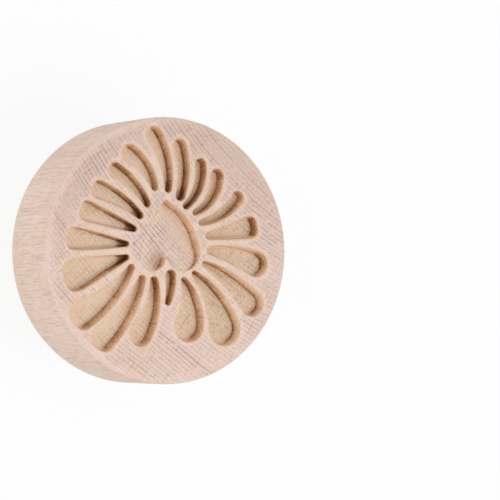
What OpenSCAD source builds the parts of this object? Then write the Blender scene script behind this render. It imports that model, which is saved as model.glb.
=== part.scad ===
// Wooden cookie stamp: a turned beech head with a flower carved into its face, a glued-on grip, and the
// dowel between them. It stands on the end of its grip, with the carved face up. Z is the turning axis,
// and Z = 0 is the grip's end.

/* [Head] */
// Diameter of the head
head_d = 80; // [64:1:110]
// Thickness of the head, from its back to its carved face
head_h = 25; // [18:1:36]
// Rounding of the head's two rim edges
head_edge_r = 0.6; // [0.3:0.1:2]
// Radius of the hollow curve between the head's back and the boss under the grip
cove_r = 5; // [2:0.5:8]

/* [Knob] */
// Diameter of the grip, and of the boss that it sits on
knob_d = 29.5; // [26:0.5:36]
// Length from the head's back to the grip's end
knob_l = 31.5; // [26:0.5:45]
// Diameter of the flat on the grip's end
knob_end_d = 22.5; // [16:0.5:26]
// Length of the rounded shoulder next to that flat
knob_shoulder_h = 7; // [4:0.5:12]

/* [Carving] */
// Depth of the carved pockets
carve_depth = 3.6; // [1.5:0.1:5]
// Least width of plain wood between the carving and the rim
carve_margin = 2.3; // [1:0.1:8]
// How far the sides of a straight petal swell past a plain taper
petal_belly = 0.15; // [0.1:0.05:0.35]
// Radius of the floor of the flower's heart, which rolls down from near the face
heart_roll_r = 30; // [24:1:60]
// Depth of that floor's crown under the face
heart_crown_drop = 0.2; // [0.1:0.05:1]
// Radius of the round dip in that floor, beside the heart's notch
heart_dip_r = 4; // [3:0.5:6]
// Depth of that dip under the face
heart_dip_depth = 2.4; // [1:0.1:3.5]

/* [Dowel] */
// Diameter of the dowel pin
dowel_d = 10; // [6:0.5:14]
// Length of the dowel pin
dowel_l = 30; // [16:1:36]
// Chamfer on the dowel's ends
dowel_chamfer = 1; // [0.4:0.1:1.5]
// Number of glue flutes round the dowel
flute_count = 12; // [6:1:18]
// Depth of a glue flute
flute_depth = 0.4; // [0.2:0.1:0.6]
// Width of a glue flute
flute_w = 1.2; // [0.8:0.1:1.4]
// Play between the dowel and its bores, across the diameter
dowel_play = 0.1; // [0.02:0.02:0.3]
// Room for glue past each end of the dowel
glue_room = 0.5; // [0.2:0.1:1.5]

/* [Hidden] */
$fn = 96;
long_arc_fn = 360;

head_r = head_d / 2;
knob_r = knob_d / 2;
back_z = knob_l;
face_z = back_z + head_h;
seat_z = back_z - cove_r;
bore_d = dowel_d + dowel_play;
bore_depth = dowel_l / 2 + glue_room;
cut_over = 1;
arc_tuck = 0.002;

// The shoulder is an arc that leaves the grip's side smoothly and is cut short by the flat
shoulder_w = (knob_d - knob_end_d) / 2;
shoulder_r = (pow(knob_shoulder_h, 2) + pow(shoulder_w, 2)) / (2 * shoulder_w);

// A flute is cut by a round tool that leaves a groove of the stated width and depth
flute_tool_r = (pow(flute_w / 2, 2) + pow(flute_depth, 2)) / (2 * flute_depth);

// Each petal, round the flower from the top towards +X: the centre of its inner end, the centre of its outer
// end, the radii of those two ends, and how far its middle bows to the left on the way outwards
petals = [
    [[0.5, 18.5], [-4, 34.5], 1.3, 3.0, -1.4],
    [[4.5, 16.5], [4.5, 31.5], 1.7, 2.4, -1.2],
    [[6.5, 13.5], [11.5, 26], 1.3, 2.1, -1.7],
    [[9.5, 11.5], [17, 22.5], 1.1, 2.5, -2.0],
    [[11.5, 8.5], [24, 16], 1.1, 2.3, -1.4],
    [[14, 4.5], [27.5, 7], 1.3, 3.5, 0],
    [[14.5, 0], [30, -4], 1.4, 4.2, 0.6],
    [[12.5, -4], [28.5, -16], 1.0, 4.2, 1.1],
    [[9, -7], [19, -23.5], 1.1, 5.5, 1.6],
    [[5.5, -9], [7, -22.5], 1.2, 5.2, 1.3],
    [[1, -7.5], [0, -15.5], 1.9, 1.1, 0.4],
    [[-4.5, -9], [-9, -25], 1.5, 3.8, 1.4],
    [[-8.5, -8.5], [-21, -25.5], 1.4, 4.3, 1.4],
    [[-12, -5], [-27.5, -18.5], 1.2, 4.6, 1.5],
    [[-13.5, -2], [-29.5, -7], 1.0, 4.9, 0],
    [[-13.5, 2], [-29.5, 3.5], 1.0, 3.5, 0],
    [[-11, 6.5], [-25.5, 11.5], 1.1, 3.2, 0],
    [[-9, 10.5], [-22, 18], 1.3, 2.9, -0.8],
    [[-6.5, 14], [-17, 24], 1.3, 2.5, -1.0],
    [[-4, 19], [-12, 29], 1.3, 3.0, -1.2]
];

// The flower's heart is two lobes and the web between them, in the same form
heart_lobes = [
    [[-0.3, 14.3], [5.2, -0.4], 0.9, 5.8, 1.7],
    [[-0.3, 14.3], [-5, -1.9], 0.9, 4.3, -1.0],
    [[-0.5, 9], [-0.5, -0.3], 1.5, 2.0, 0]
];
heart_crown = [-3.7, -2.8];
heart_heading = 37;
heart_dip = [-2, -3.5];

// The flower grows or shrinks with the head, so that its longest petal keeps the margin
petal_reach = max([for (petal = petals) norm(petal[1]) + petal[3]]);
flower_k = (head_r - carve_margin) / petal_reach;

// The arc that touches both round ends of a petal on one side, and passes at a given reach beside the middle
// of the line between them: [centre along the petal, centre to the side, radius], negative for a hollow arc
function side_arc(half_l, start_r, end_r, reach) =
    let (
        ends = start_r + end_r,
        widening = (end_r - start_r) / (2 * half_l),
        radius_0 = (reach ^ 2 - half_l ^ 2 + (start_r ^ 2 + end_r ^ 2) / 2) / ends,
        radius_1 = -2 * reach / ends,
        along_0 = widening * (radius_0 - ends / 2),
        along_1 = widening * radius_1,
        a = along_1 ^ 2 + 1 - radius_1 ^ 2,
        b = along_0 * along_1 - reach - radius_0 * radius_1,
        c = along_0 ^ 2 + reach ^ 2 - radius_0 ^ 2,
        aside = (sqrt(b ^ 2 - a * c) - b) / a
    )
    [along_0 + along_1 * aside, aside, radius_0 + radius_1 * aside];

// The way from a round end's centre to the point where a side arc touches it
function touch_way(arc, end_x, end_r) = ([end_x, 0] - [arc[0], arc[1]]) / (arc[2] - end_r);

// Keeps what lies inside a swelling arc's circle, or outside a hollow arc's
module trim_to_arc(arc) {
    if (arc[2] > 0) {
        intersection() {
            children();
            translate([arc[0], arc[1]]) circle(arc[2], $fn = long_arc_fn);
        }
    } else {
        difference() {
            children();
            translate([arc[0], arc[1]]) circle(-arc[2], $fn = long_arc_fn);
        }
    }
}

// A petal's numbers, grown or shrunk with the flower
function fitted(petal) = [for (value = petal) value * flower_k];

// The space of one pocket, from its flat floor to just above the face: two round ends, joined by two smooth
// arcs that bow together and swell by the belly. The arcs start a hair inside the ends, so the outline closes
module pocket(petal) {
    run = petal[1] - petal[0];
    start_r = petal[2] - arc_tuck;
    end_r = petal[3] - arc_tuck;
    bow = petal[4];
    half_l = norm(run) / 2;
    pocket_h = carve_depth + cut_over;
    middle_r = (start_r + end_r) / 2 / cos(asin((end_r - start_r) / norm(run))) + petal_belly;
    left = side_arc(half_l, start_r, end_r, middle_r + bow);
    mirrored = side_arc(half_l, start_r, end_r, middle_r - bow);
    right = [mirrored[0], -mirrored[1], mirrored[2]];
    overhang = middle_r + abs(bow);
    translate([0, 0, face_z - carve_depth])
        translate((petal[0] + petal[1]) / 2)
        rotate(atan2(run.y, run.x)) {
            translate([-half_l, 0]) cylinder(r = petal[2], h = pocket_h);
            translate([half_l, 0]) cylinder(r = petal[3], h = pocket_h);
            linear_extrude(pocket_h)
                trim_to_arc(left)
                    trim_to_arc(right)
                        polygon([
                            [-half_l, 0],
                            [-half_l, 0] + (start_r + overhang) * touch_way(left, -half_l, start_r),
                            [half_l, 0] + (end_r + overhang) * touch_way(left, half_l, end_r),
                            [half_l, 0],
                            [half_l, 0] + (end_r + overhang) * touch_way(right, half_l, end_r),
                            [-half_l, 0] + (start_r + overhang) * touch_way(right, -half_l, start_r)
                        ]);
        }
}

// The wood under the heart's floor: a lying cylinder whose crown is near the face, with a round dip
module heart_floor() {
    difference() {
        translate([0, 0, face_z - heart_crown_drop - heart_roll_r])
            translate(heart_crown * flower_k)
                rotate([90, 0, heart_heading])
                    cylinder(r = heart_roll_r, h = head_d, center = true, $fn = long_arc_fn);
        translate([0, 0, face_z - heart_dip_depth + heart_dip_r])
            translate(heart_dip * flower_k)
                rotate([90, 0, 0]) sphere(heart_dip_r);
    }
}

// The heart's pocket, from its rolling floor to just above the face
module heart_pocket() {
    for (lobe = heart_lobes)
        difference() {
            pocket(fitted(lobe));
            heart_floor();
        }
}

// Half of the head's section: the disc with rounded rim edges, and the boss with its cove
module head_section() {
    translate([0, back_z]) square([head_r - head_edge_r, head_h]);
    translate([0, back_z + head_edge_r]) square([head_r, head_h - 2 * head_edge_r]);
    for (edge_z = [back_z + head_edge_r, face_z - head_edge_r])
        translate([head_r - head_edge_r, edge_z]) circle(head_edge_r);
    difference() {
        translate([0, seat_z]) square([knob_r + cove_r, cove_r + head_edge_r]);
        translate([knob_r + cove_r, seat_z]) circle(cove_r);
    }
}

// The turned head with its carved face and the bore for the upper half of the dowel
module stamp_head() {
    color([0.80, 0.64, 0.52])
    difference() {
        rotate_extrude() head_section();
        for (petal = petals) pocket(fitted(petal));
        heart_pocket();
        translate([0, 0, seat_z - cut_over]) cylinder(d = bore_d, h = bore_depth + cut_over);
    }
}

// Half of the grip's section: a straight side and a rounded shoulder, cut short by the flat end
module knob_section() {
    translate([0, knob_shoulder_h]) square([knob_r, seat_z - knob_shoulder_h]);
    intersection() {
        square([knob_r, knob_shoulder_h]);
        union() {
            square([knob_end_d / 2, knob_shoulder_h]);
            translate([knob_r - shoulder_r, knob_shoulder_h]) circle(shoulder_r);
        }
    }
}

// The turned grip with the bore for the lower half of the dowel
module knob() {
    color([0.82, 0.66, 0.50])
    difference() {
        rotate_extrude() knob_section();
        translate([0, 0, seat_z - bore_depth]) cylinder(d = bore_d, h = bore_depth + cut_over);
    }
}

// The dowel pin: a chamfered rod with glue flutes, half of it on each side of the seat
module dowel_pin() {
    color([0.86, 0.74, 0.58])
    translate([0, 0, seat_z - dowel_l / 2])
    difference() {
        union() {
            cylinder(d1 = dowel_d - 2 * dowel_chamfer, d2 = dowel_d, h = dowel_chamfer);
            translate([0, 0, dowel_chamfer]) cylinder(d = dowel_d, h = dowel_l - 2 * dowel_chamfer);
            translate([0, 0, dowel_l - dowel_chamfer])
                cylinder(d1 = dowel_d, d2 = dowel_d - 2 * dowel_chamfer, h = dowel_chamfer);
        }
        for (flute = [0 : flute_count - 1])
            rotate(flute * 360 / flute_count)
                translate([dowel_d / 2 - flute_depth + flute_tool_r, 0, -cut_over])
                    cylinder(r = flute_tool_r, h = dowel_l + 2 * cut_over);
    }
}

stamp_head();
knob();
dowel_pin();
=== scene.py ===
"""Dresses a turned beech cookie stamp: a carved head, the grip behind it and the dowel between them.

Lengths are in millimetres in the part's own frame, and become metres when a mesh is made. The stamp stands on
the end of its grip with the carved face up, Z is the turning axis, and the grain runs along Z.
"""

import logging
import math
from collections.abc import Callable, Sequence
from dataclasses import dataclass, field
from enum import IntEnum
from random import Random

import bmesh
import bpy
import numpy as np
from mathutils import Matrix, Vector, geometry, noise


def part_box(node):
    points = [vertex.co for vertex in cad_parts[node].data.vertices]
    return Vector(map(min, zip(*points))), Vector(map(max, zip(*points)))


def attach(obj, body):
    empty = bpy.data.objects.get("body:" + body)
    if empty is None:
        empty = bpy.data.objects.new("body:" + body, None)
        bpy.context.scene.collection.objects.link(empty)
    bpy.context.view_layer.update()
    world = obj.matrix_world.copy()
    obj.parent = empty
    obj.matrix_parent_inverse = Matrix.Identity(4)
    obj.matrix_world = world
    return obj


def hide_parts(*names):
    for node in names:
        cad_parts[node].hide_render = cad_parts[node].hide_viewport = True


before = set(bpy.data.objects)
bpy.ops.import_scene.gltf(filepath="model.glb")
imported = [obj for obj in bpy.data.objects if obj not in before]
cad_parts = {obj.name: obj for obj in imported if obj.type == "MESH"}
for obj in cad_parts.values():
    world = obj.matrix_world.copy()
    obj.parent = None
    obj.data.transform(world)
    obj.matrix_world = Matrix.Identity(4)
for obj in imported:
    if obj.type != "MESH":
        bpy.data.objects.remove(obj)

LOG = logging.getLogger("cookie_stamp")
MM = 0.001
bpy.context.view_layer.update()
BODY = "root"
FULL_TURN = 2 * math.pi
QUARTER_TURN = math.pi / 2
# Mesh attribute that holds the pockets' scorching, painted shade, painted highlights and painted light.
SCORCH_AND_SHADING = "scorch"
WHITE = (1.0, 1.0, 1.0, 1.0)
Tone = tuple[float, float, float, float]
Span = tuple[float, float]


def tone(red: int, green: int, blue: int) -> Tone:
    """Turns a colour as a screen shows it into the linear colour that a shader takes.

    Args:
        red: Red from 0 to 255.
        green: Green from 0 to 255.
        blue: Blue from 0 to 255.

    Returns:
        The linear colour with full alpha.
    """
    shares = [channel / 255 for channel in (red, green, blue)]
    linear = [share / 12.92 if share <= 0.04045 else ((share + 0.055) / 1.055) ** 2.4 for share in shares]
    return (*linear, 1.0)


def smooth(low: float, high: float, value: np.ndarray | float) -> np.ndarray:
    """Rises smoothly from 0 at low to 1 at high.

    Args:
        low: Where the rise starts.
        high: Where the rise ends.
        value: What is looked up.

    Returns:
        The height of the rise at each value.
    """
    share = np.clip((np.asarray(value, float) - low) / (high - low), 0, 1)
    return share * share * (3 - 2 * share)


def add_object(name: str, data: bpy.types.ID) -> bpy.types.Object:
    """Adds an object to the scene.

    Args:
        name: The object's name.
        data: Its mesh, lamp or camera.

    Returns:
        The object.
    """
    made = bpy.data.objects.new(name, data)
    bpy.context.scene.collection.objects.link(made)
    return made


class Socket:
    """A node's output that takes part in Python expressions, each of which adds a Math node."""

    def __init__(self, kit: "NodeKit", source: bpy.types.NodeSocket) -> None:
        """Keeps the tree's kit and the output itself."""
        self.kit = kit
        self.source = source

    def __add__(self, other: "Socket | float") -> "Socket":
        """Adds a value."""
        return self.kit.math("ADD", self, other)

    def __sub__(self, other: "Socket | float") -> "Socket":
        """Takes a value away."""
        return self.kit.math("SUBTRACT", self, other)

    def __rsub__(self, other: float) -> "Socket":
        """Takes this value away from a number."""
        return self.kit.math("SUBTRACT", other, self)

    def __mul__(self, other: "Socket | float") -> "Socket":
        """Multiplies by a value."""
        return self.kit.math("MULTIPLY", self, other)

    def __truediv__(self, other: "Socket | float") -> "Socket":
        """Divides by a value."""
        return self.kit.math("DIVIDE", self, other)

    def __pow__(self, other: float) -> "Socket":
        """Raises to a power."""
        return self.kit.math("POWER", self, other)

    __radd__ = __add__
    __rmul__ = __mul__

    def __neg__(self) -> "Socket":
        """Turns the sign round."""
        return self.kit.math("MULTIPLY", self, -1.0)

    def __abs__(self) -> "Socket":
        """Drops the sign."""
        return self.kit.math("ABSOLUTE", self)

    def most(self, other: "Socket | float") -> "Socket":
        """Keeps the larger of two values."""
        return self.kit.math("MAXIMUM", self, other)

    def fraction(self) -> "Socket":
        """Keeps what is left after the whole number."""
        return self.kit.math("FRACT", self)

    def whole(self) -> "Socket":
        """Keeps the whole number."""
        return self.kit.math("FLOOR", self)

    def rise(self, low: float, high: float) -> "Socket":
        """Rises smoothly from 0 at low to 1 at high."""
        bounds = {"Value": self, "From Min": low, "From Max": high}
        return self.kit.node("ShaderNodeMapRange", {"interpolation_type": "SMOOTHSTEP"}, bounds)

    def hump(self, up: Span, down: Span) -> "Socket":
        """Rises from 0 to 1 over one span and falls back over another."""
        return self.rise(*up) * (1 - self.rise(*down))

    def between(self, low: float, high: float) -> "Socket":
        """Stretches what runs from 0 to 1 so that it runs from low to high."""
        return self * (high - low) + low

    def sibling(self, name: str) -> "Socket":
        """Gives another output of the same node."""
        return Socket(self.kit, self.source.node.outputs[name])


Feed = Socket | float | int | str | bool | Sequence[float] | bpy.types.ID


class NodeKit:
    """Adds nodes to one tree, whether it shades a surface or makes a mesh."""

    def __init__(self, tree: bpy.types.NodeTree) -> None:
        """Keeps the tree that gets the nodes."""
        self.tree = tree

    @classmethod
    def emptied(cls, owner: bpy.types.Material | bpy.types.World) -> "NodeKit":
        """Empties the tree of a material or a world.

        Args:
            owner: The material or the world.
        """
        owner.use_nodes = True
        owner.node_tree.nodes.clear()
        return cls(owner.node_tree)

    def node(
        self,
        kind: str,
        settings: dict[str, object] | None = None,
        inputs: dict[str, Feed | list[Socket]] | None = None,
        output: str | int = 0,
    ) -> Socket:
        """Adds one node.

        Args:
            kind: The node's type.
            settings: The node's own choices, which are set first. A ramp's stops are pairs of place and tone.
            inputs: What each input takes, by the input's identifier or name.
            output: Which output is wanted, by identifier or number.

        Returns:
            The wanted output.
        """
        made = self.tree.nodes.new(kind)
        for name, value in (settings or {}).items():
            if name == "stops":
                self._set_stops(made.color_ramp, value)
            else:
                setattr(made, name, value)
        for key, value in (inputs or {}).items():
            target = self._find(made.inputs, key)
            for feed in value if isinstance(value, list) else [value]:
                if isinstance(feed, Socket):
                    self.tree.links.new(feed.source, target)
                else:
                    target.default_value = feed
        found = made.outputs[output] if isinstance(output, int) and made.outputs else None
        if isinstance(output, str):
            found = self._find(made.outputs, output)
        return Socket(self, found)

    @staticmethod
    def _find(sockets: Sequence[bpy.types.NodeSocket], key: str) -> bpy.types.NodeSocket:
        """Looks a socket up by its identifier, or else by its name."""
        by_identifier = [socket for socket in sockets if socket.identifier == key]
        return (by_identifier or [socket for socket in sockets if socket.name == key])[0]

    @staticmethod
    def _set_stops(ramp: bpy.types.ColorRamp, stops: Sequence[tuple[float, Tone]]) -> None:
        """Gives a ramp its stops.

        Args:
            ramp: The ramp.
            stops: Pairs of place and tone, in rising order.
        """
        while len(ramp.elements) < len(stops):
            ramp.elements.new(1.0)
        for element, (place, colour) in zip(ramp.elements, stops):
            element.position = place
            element.color = colour

    def math(self, operation: str, *values: Socket | float) -> Socket:
        """Adds a Math node for one operation on its values."""
        inputs = dict(zip(("Value", "Value_001", "Value_002"), values))
        return self.node("ShaderNodeMath", {"operation": operation}, inputs)

    def vector(self, operation: str, *values: Feed, output: str | int = 0, **named: Feed) -> Socket:
        """Adds a Vector Math node for one operation on its vectors."""
        inputs = dict(zip(("Vector", "Vector_001", "Vector_002"), values))
        return self.node("ShaderNodeVectorMath", {"operation": operation}, inputs | named, output)

    def parts(self, vector: Socket) -> tuple[Socket, Socket, Socket]:
        """Splits a vector into its three values."""
        x = self.node("ShaderNodeSeparateXYZ", None, {"Vector": vector}, "X")
        return x, x.sibling("Y"), x.sibling("Z")

    def join(self, x: Socket | float, y: Socket | float, z: Socket | float) -> Socket:
        """Makes a vector of three values."""
        return self.node("ShaderNodeCombineXYZ", None, {"X": x, "Y": y, "Z": z})

    def attribute(self, name: str) -> Socket:
        """Reads one of the mesh's attributes."""
        return self.node("ShaderNodeAttribute", {"attribute_name": name}, None, "Fac")

    def cloud(
        self,
        place: Socket,
        steps: float | Sequence[float],
        detail: float,
        shift: float = 0.0,
        output: str = "Fac",
    ) -> Socket:
        """Adds soft noise.

        Args:
            place: Where it is looked up.
            steps: How many patches there are to a unit of the place, for all axes or for each.
            detail: How many finer noises lie on top.
            shift: Tells one noise from another.
            output: Which output is wanted.

        Returns:
            The noise, from 0 to 1 with most of it near 0.5.
        """
        each = tuple(steps) if isinstance(steps, Sequence) else (steps,) * 3
        stretched = self.vector("MULTIPLY_ADD", place, each, (shift,) * 3)
        inputs = {"Vector": stretched, "Scale": 1.0, "Detail": detail}
        return self.node("ShaderNodeTexNoise", None, inputs, output)

    def wander(self, value: Socket, detail: float = 1.0) -> Socket:
        """Adds noise along one value, from -0.5 to 0.5."""
        inputs = {"W": value, "Scale": 1.0, "Detail": detail}
        return self.node("ShaderNodeTexNoise", {"noise_dimensions": "1D"}, inputs) - 0.5

    def blend(self, share: Socket | float, first: Feed, second: Feed) -> Socket:
        """Mixes two colours.

        Args:
            share: How much of the second colour shows, from 0 to 1.
            first: The first colour.
            second: The second colour.

        Returns:
            The mixed colour.
        """
        settings = {"data_type": "RGBA", "blend_type": "MIX", "clamp_factor": True}
        inputs = {"Factor_Float": share, "A_Color": first, "B_Color": second}
        return self.node("ShaderNodeMix", settings, inputs, "Result_Color")


@dataclass(frozen=True)
class GrainMarks:
    """What shows of the tree at a point: each mark is 0 where it is absent and 1 where it is full."""

    place: Socket
    ring: Socket
    fine: Socket
    ray: Socket
    pore: Socket
    streak: Socket
    mottle: Socket
    speckle: Socket


@dataclass(frozen=True)
class BeechGrain:
    """The trunk that the blank was sawn from, as patterns that run through the whole stamp."""

    pith: tuple[float, float] = (120.0, 125.0)
    lean: tuple[float, float] = (0.030, -0.022)
    sway: float = 2.2
    ring_w: float = 3.7
    ring_wander: float = 1.5
    late_wood: Span = (0.35, 0.97)
    year_end: Span = (0.89, 0.972)
    year_start: Span = (0.976, 1.0)
    fine_w: float = 1.28
    fine_wander: float = 0.7
    thread_up: Span = (0.66, 0.86)
    thread_down: Span = (0.87, 1.0)
    ray_gap: float = 1.35
    ray_wander: float = 1.1
    spoke_up: Span = (0.74, 0.88)
    spoke_down: Span = (0.88, 1.0)
    pore_gap: float = 0.85
    pore_l: float = 3.0
    pore_edge: Span = (0.06, 0.20)
    pore_open: Span = (0.5, 0.6)
    mottle_w: float = 15.0

    def marks(self, kit: NodeKit) -> GrainMarks:
        """Adds the patterns to a material.

        Args:
            kit: The material's kit.

        Returns:
            The marks of the grain.
        """
        coordinates = kit.node("ShaderNodeTexCoord", None, None, "Object")
        place = kit.vector("SCALE", coordinates, Scale=1 / MM)
        warp = kit.cloud(place, (0.06, 0.06, 0.02), 2, output="Color")
        swayed = kit.vector("MULTIPLY_ADD", warp, (self.sway, self.sway, 0.0), place)
        x, y, z = kit.parts(swayed)
        across = x - self.pith[0] + z * self.lean[0]
        along = y - self.pith[1] + z * self.lean[1]
        radius = (across * across + along * along) ** 0.5
        arc = kit.math("ARCTAN2", along, across) * math.hypot(*self.pith)

        # A year's ring darkens slowly and ends in a thin line, some years more than others.
        rings = radius * (1 / self.ring_w) + kit.wander(radius * 0.19, 2) * self.ring_wander
        year = rings.fraction()
        line = year.rise(*self.late_wood) ** 3 * 0.36 + year.rise(*self.year_end) * 0.64
        strength = kit.wander(rings.whole() * 3.7) * 1.6 + 0.85
        ring = line * (1 - year.rise(*self.year_start)) * strength

        # Fine lines run between the rings, beaded and with gaps.
        lines = radius * (1 / self.fine_w) + kit.wander(radius * 0.8) * self.fine_wander
        thread = lines.fraction().hump(self.thread_up, self.thread_down)
        beads = kit.cloud(place, (2.4, 2.4, 0.3), 1, 3.1).rise(0.36, 0.58).between(0.45, 1.0)
        gaps = kit.cloud(place, (0.35, 0.35, 0.1), 1, 12.3).rise(0.28, 0.44)
        fine = thread * beads * gaps

        # Rays cross them, in short runs.
        spokes = arc * (1 / self.ray_gap) + kit.wander(arc * 0.7) * self.ray_wander
        runs = kit.cloud(kit.join(radius * 0.22, spokes.whole() * 3.7, z * 0.3), 1.0, 1).rise(0.45, 0.6)
        ray = spokes.fraction().hump(self.spoke_up, self.spoke_down) * runs

        # Pores are long thin cells, of which about half are open.
        cells = (1 / self.pore_gap, 1 / self.pore_gap, 1 / self.pore_l)
        cell_inputs = {"Vector": kit.vector("MULTIPLY", place, cells), "Scale": 1.0}
        near = kit.node("ShaderNodeTexVoronoi", None, cell_inputs, "Distance")
        luck = kit.parts(near.sibling("Color"))[0]
        pore = (1 - near.rise(*self.pore_edge)) * luck.rise(*self.pore_open)

        streak = kit.cloud(place, (2.8, 2.8, 0.13), 3, 7.7)
        mottle = kit.cloud(place, 1 / self.mottle_w, 3, 1.9)
        speckle = kit.cloud(place, (1.3, 1.3, 0.35), 3, 15.1)
        return GrainMarks(place, ring, fine, ray, pore, streak, mottle, speckle)


@dataclass(frozen=True)
class BeechFinish:
    """Bare beech as one kind of cut leaves it. The strengths say how much of each mark the cut shows."""

    name: str
    pale: Tone
    warm: Tone
    mark: Tone
    ring: float
    fine: float
    ray: float
    pore: float
    streak: float
    speckle: float = 0.16
    roughness: float = 0.62
    uneven_gloss: float = 0.12
    gloss: float = 0.28
    relief: float = 0.10
    relief_h: float = 0.3
    grain: BeechGrain = field(default_factory=BeechGrain)

    def colour(self, kit: NodeKit, marks: GrainMarks) -> Socket:
        """Works out the wood's colour.

        Args:
            kit: The material's kit.
            marks: The marks of the grain.

        Returns:
            The colour at each point.
        """
        patch = self.lattice_patch(kit, marks)
        wood = kit.blend(marks.mottle.rise(0.3, 0.7), self.pale, self.warm)
        flecks = marks.streak.rise(0.45, 0.75) * self.streak + marks.speckle.rise(0.42, 0.78) * self.speckle
        wood = kit.blend(flecks, wood, self.mark)
        fine = marks.fine * patch.between(0.5, 1.0) * self.fine
        ray = marks.ray * patch.between(0.6, 1.0) * self.ray
        shown = fine + ray + marks.ring * self.ring + marks.pore * self.pore
        return kit.blend(shown, wood, self.mark)

    def lattice_patch(self, kit: NodeKit, marks: GrainMarks) -> Socket:
        """Says where the fine lines across the end grain show most."""
        return kit.cloud(marks.place, 0.055, 1, 5.3).rise(0.40, 0.60)

    def height(self, kit: NodeKit, marks: GrainMarks) -> Socket:
        """Works out the fine relief that the bump shows, with its pores and lines sunk."""
        sunk = marks.pore * self.pore + marks.fine * self.fine * 0.5 + marks.ray * self.ray * 0.4
        return marks.streak * 0.5 - sunk

    def material(self) -> bpy.types.Material:
        """Builds the material.

        Returns:
            The finished material.
        """
        material = bpy.data.materials.new(self.name)
        kit = NodeKit.emptied(material)
        marks = self.grain.marks(kit)
        relief = {"Strength": self.relief, "Distance": self.relief_h * MM, "Height": self.height(kit, marks)}
        wood = kit.node("ShaderNodeBsdfPrincipled", None, {
            "Base Color": self.colour(kit, marks),
            "Roughness": marks.streak * self.uneven_gloss + (self.roughness - self.uneven_gloss / 2),
            "Normal": kit.node("ShaderNodeBump", None, relief),
            "Specular IOR Level": self.gloss,
        })
        kit.node("ShaderNodeOutputMaterial", None, {"Surface": wood})
        return material


@dataclass(frozen=True)
class CarvedFaceFinish(BeechFinish):
    """The sanded end grain between the pockets: painted shade towards the heart's point, paler at its worn
    edge.

    The mesh's scorch attribute is above 0 on the pockets' lips, painted cream as a highlight, and
    below 0 on the pale lands.
    """

    cream: Tone = tone(236, 206, 178)
    lip_highlight_share: float = 0.75
    land: Tone = tone(234, 208, 190)
    land_shares: Span = (0.15, 0.60)
    dusk: float = 0.18
    dusk_run: Span = (-40.0, 40.0)
    worn_rim: Span = (37.8, 40.4)
    worn_wander: float = 1.6
    worn_left: float = 0.60
    worn_right: float = 0.15
    worn_run: Span = (-20.0, 20.0)
    spots: tuple[tuple[float, float, float, float], ...] = (
        (-26.0, 26.0, 15.0, 1.0), (-4.0, 6.0, 14.0, 1.0), (-12.0, -36.0, 20.0, 0.6), (37.0, 4.0, 14.0, 0.35),
        (30.0, -26.0, 9.0, 0.4), (-36.0, -10.0, 12.0, 0.7), (8.0, 36.0, 14.0, 0.7),
    )

    def colour(self, kit: NodeKit, marks: GrainMarks) -> Socket:
        """Works out the face's colour: painted highlights on the lips, painted shade at the top, pale lands,
        a worn edge.

        Args:
            kit: The material's kit.
            marks: The marks of the grain.

        Returns:
            The colour at each point.
        """
        lip = kit.attribute(SCORCH_AND_SHADING)
        x, y, _ = kit.parts(marks.place)
        patchy = kit.cloud(marks.place, 0.45, 2, 21.0).rise(0.30, 0.62)
        # Painted shade: the face darkens towards the top, where the light falls off.
        wood = kit.blend(y.rise(*self.dusk_run) * self.dusk, super().colour(kit, marks), self.mark)
        wood = kit.blend((-lip).rise(0.2, 1.0) * patchy.between(*self.land_shares), wood, self.land)
        out = (x * x + y * y) ** 0.5 + patchy * self.worn_wander
        by_side = x.rise(*self.worn_run).between(self.worn_left, self.worn_right)
        wood = kit.blend(out.rise(*self.worn_rim) * by_side, wood, self.pale)
        # Painted highlight: the lips turn cream, as their edges catch the light.
        return kit.blend(lip.rise(0.0, 0.2) * self.lip_highlight_share, wood, self.cream)

    def lattice_patch(self, kit: NodeKit, marks: GrainMarks) -> Socket:
        """Says where the fine lines show most: round a few spots, and here and there between them.

        Args:
            kit: The material's kit.
            marks: The marks of the grain.

        Returns:
            How much they show, from 0 to 1.
        """
        patch = super().lattice_patch(kit, marks) * 0.4
        x, y, _ = kit.parts(marks.place)
        flat = kit.join(x, y, 0.0)
        for spot_x, spot_y, reach, strength in self.spots:
            away = kit.vector("DISTANCE", flat, (spot_x, spot_y, 0.0), output="Value")
            patch = patch.most((1 - away.rise(reach * 0.35, reach)) * strength)
        return patch


@dataclass(frozen=True)
class BurnishedAndShadedFinish(BeechFinish):
    """A wall browned by the cutter and by painted shade: the mesh says how strongly, in scorch."""

    scratches: float = 0.58
    smudges: float = 0.55
    stops: tuple[tuple[float, Tone], ...] = (
        (0.18, tone(234, 207, 184)),
        (0.38, tone(217, 180, 146)),
        (0.58, tone(187, 142, 104)),
        (0.80, tone(142, 95, 62)),
        (1.0, tone(94, 55, 33)),
    )

    def colour(self, kit: NodeKit, marks: GrainMarks) -> Socket:
        """Works out the colour of scorching and painted shade, with upright scratches and the wood's own
        pores.

        Args:
            kit: The material's kit.
            marks: The marks of the grain.

        Returns:
            The colour at each point.
        """
        scorch = kit.attribute(SCORCH_AND_SHADING)
        scratch = kit.cloud(marks.place, (3.4, 3.4, 0.9), 2, 11.0) - 0.5
        smudge = kit.cloud(marks.place, 1.3, 3, 4.0) - 0.5
        rough = scratch * self.scratches + smudge * self.smudges
        # burn_and_shade: scorching and painted shade, roughened by scratches and smudges.
        burn_and_shade = scorch + rough * scorch.rise(0.1, 0.5)
        wood = kit.node("ShaderNodeValToRGB", {"stops": self.stops}, {"Fac": burn_and_shade}, "Color")
        return kit.blend(marks.pore * self.pore, wood, self.mark)


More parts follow.
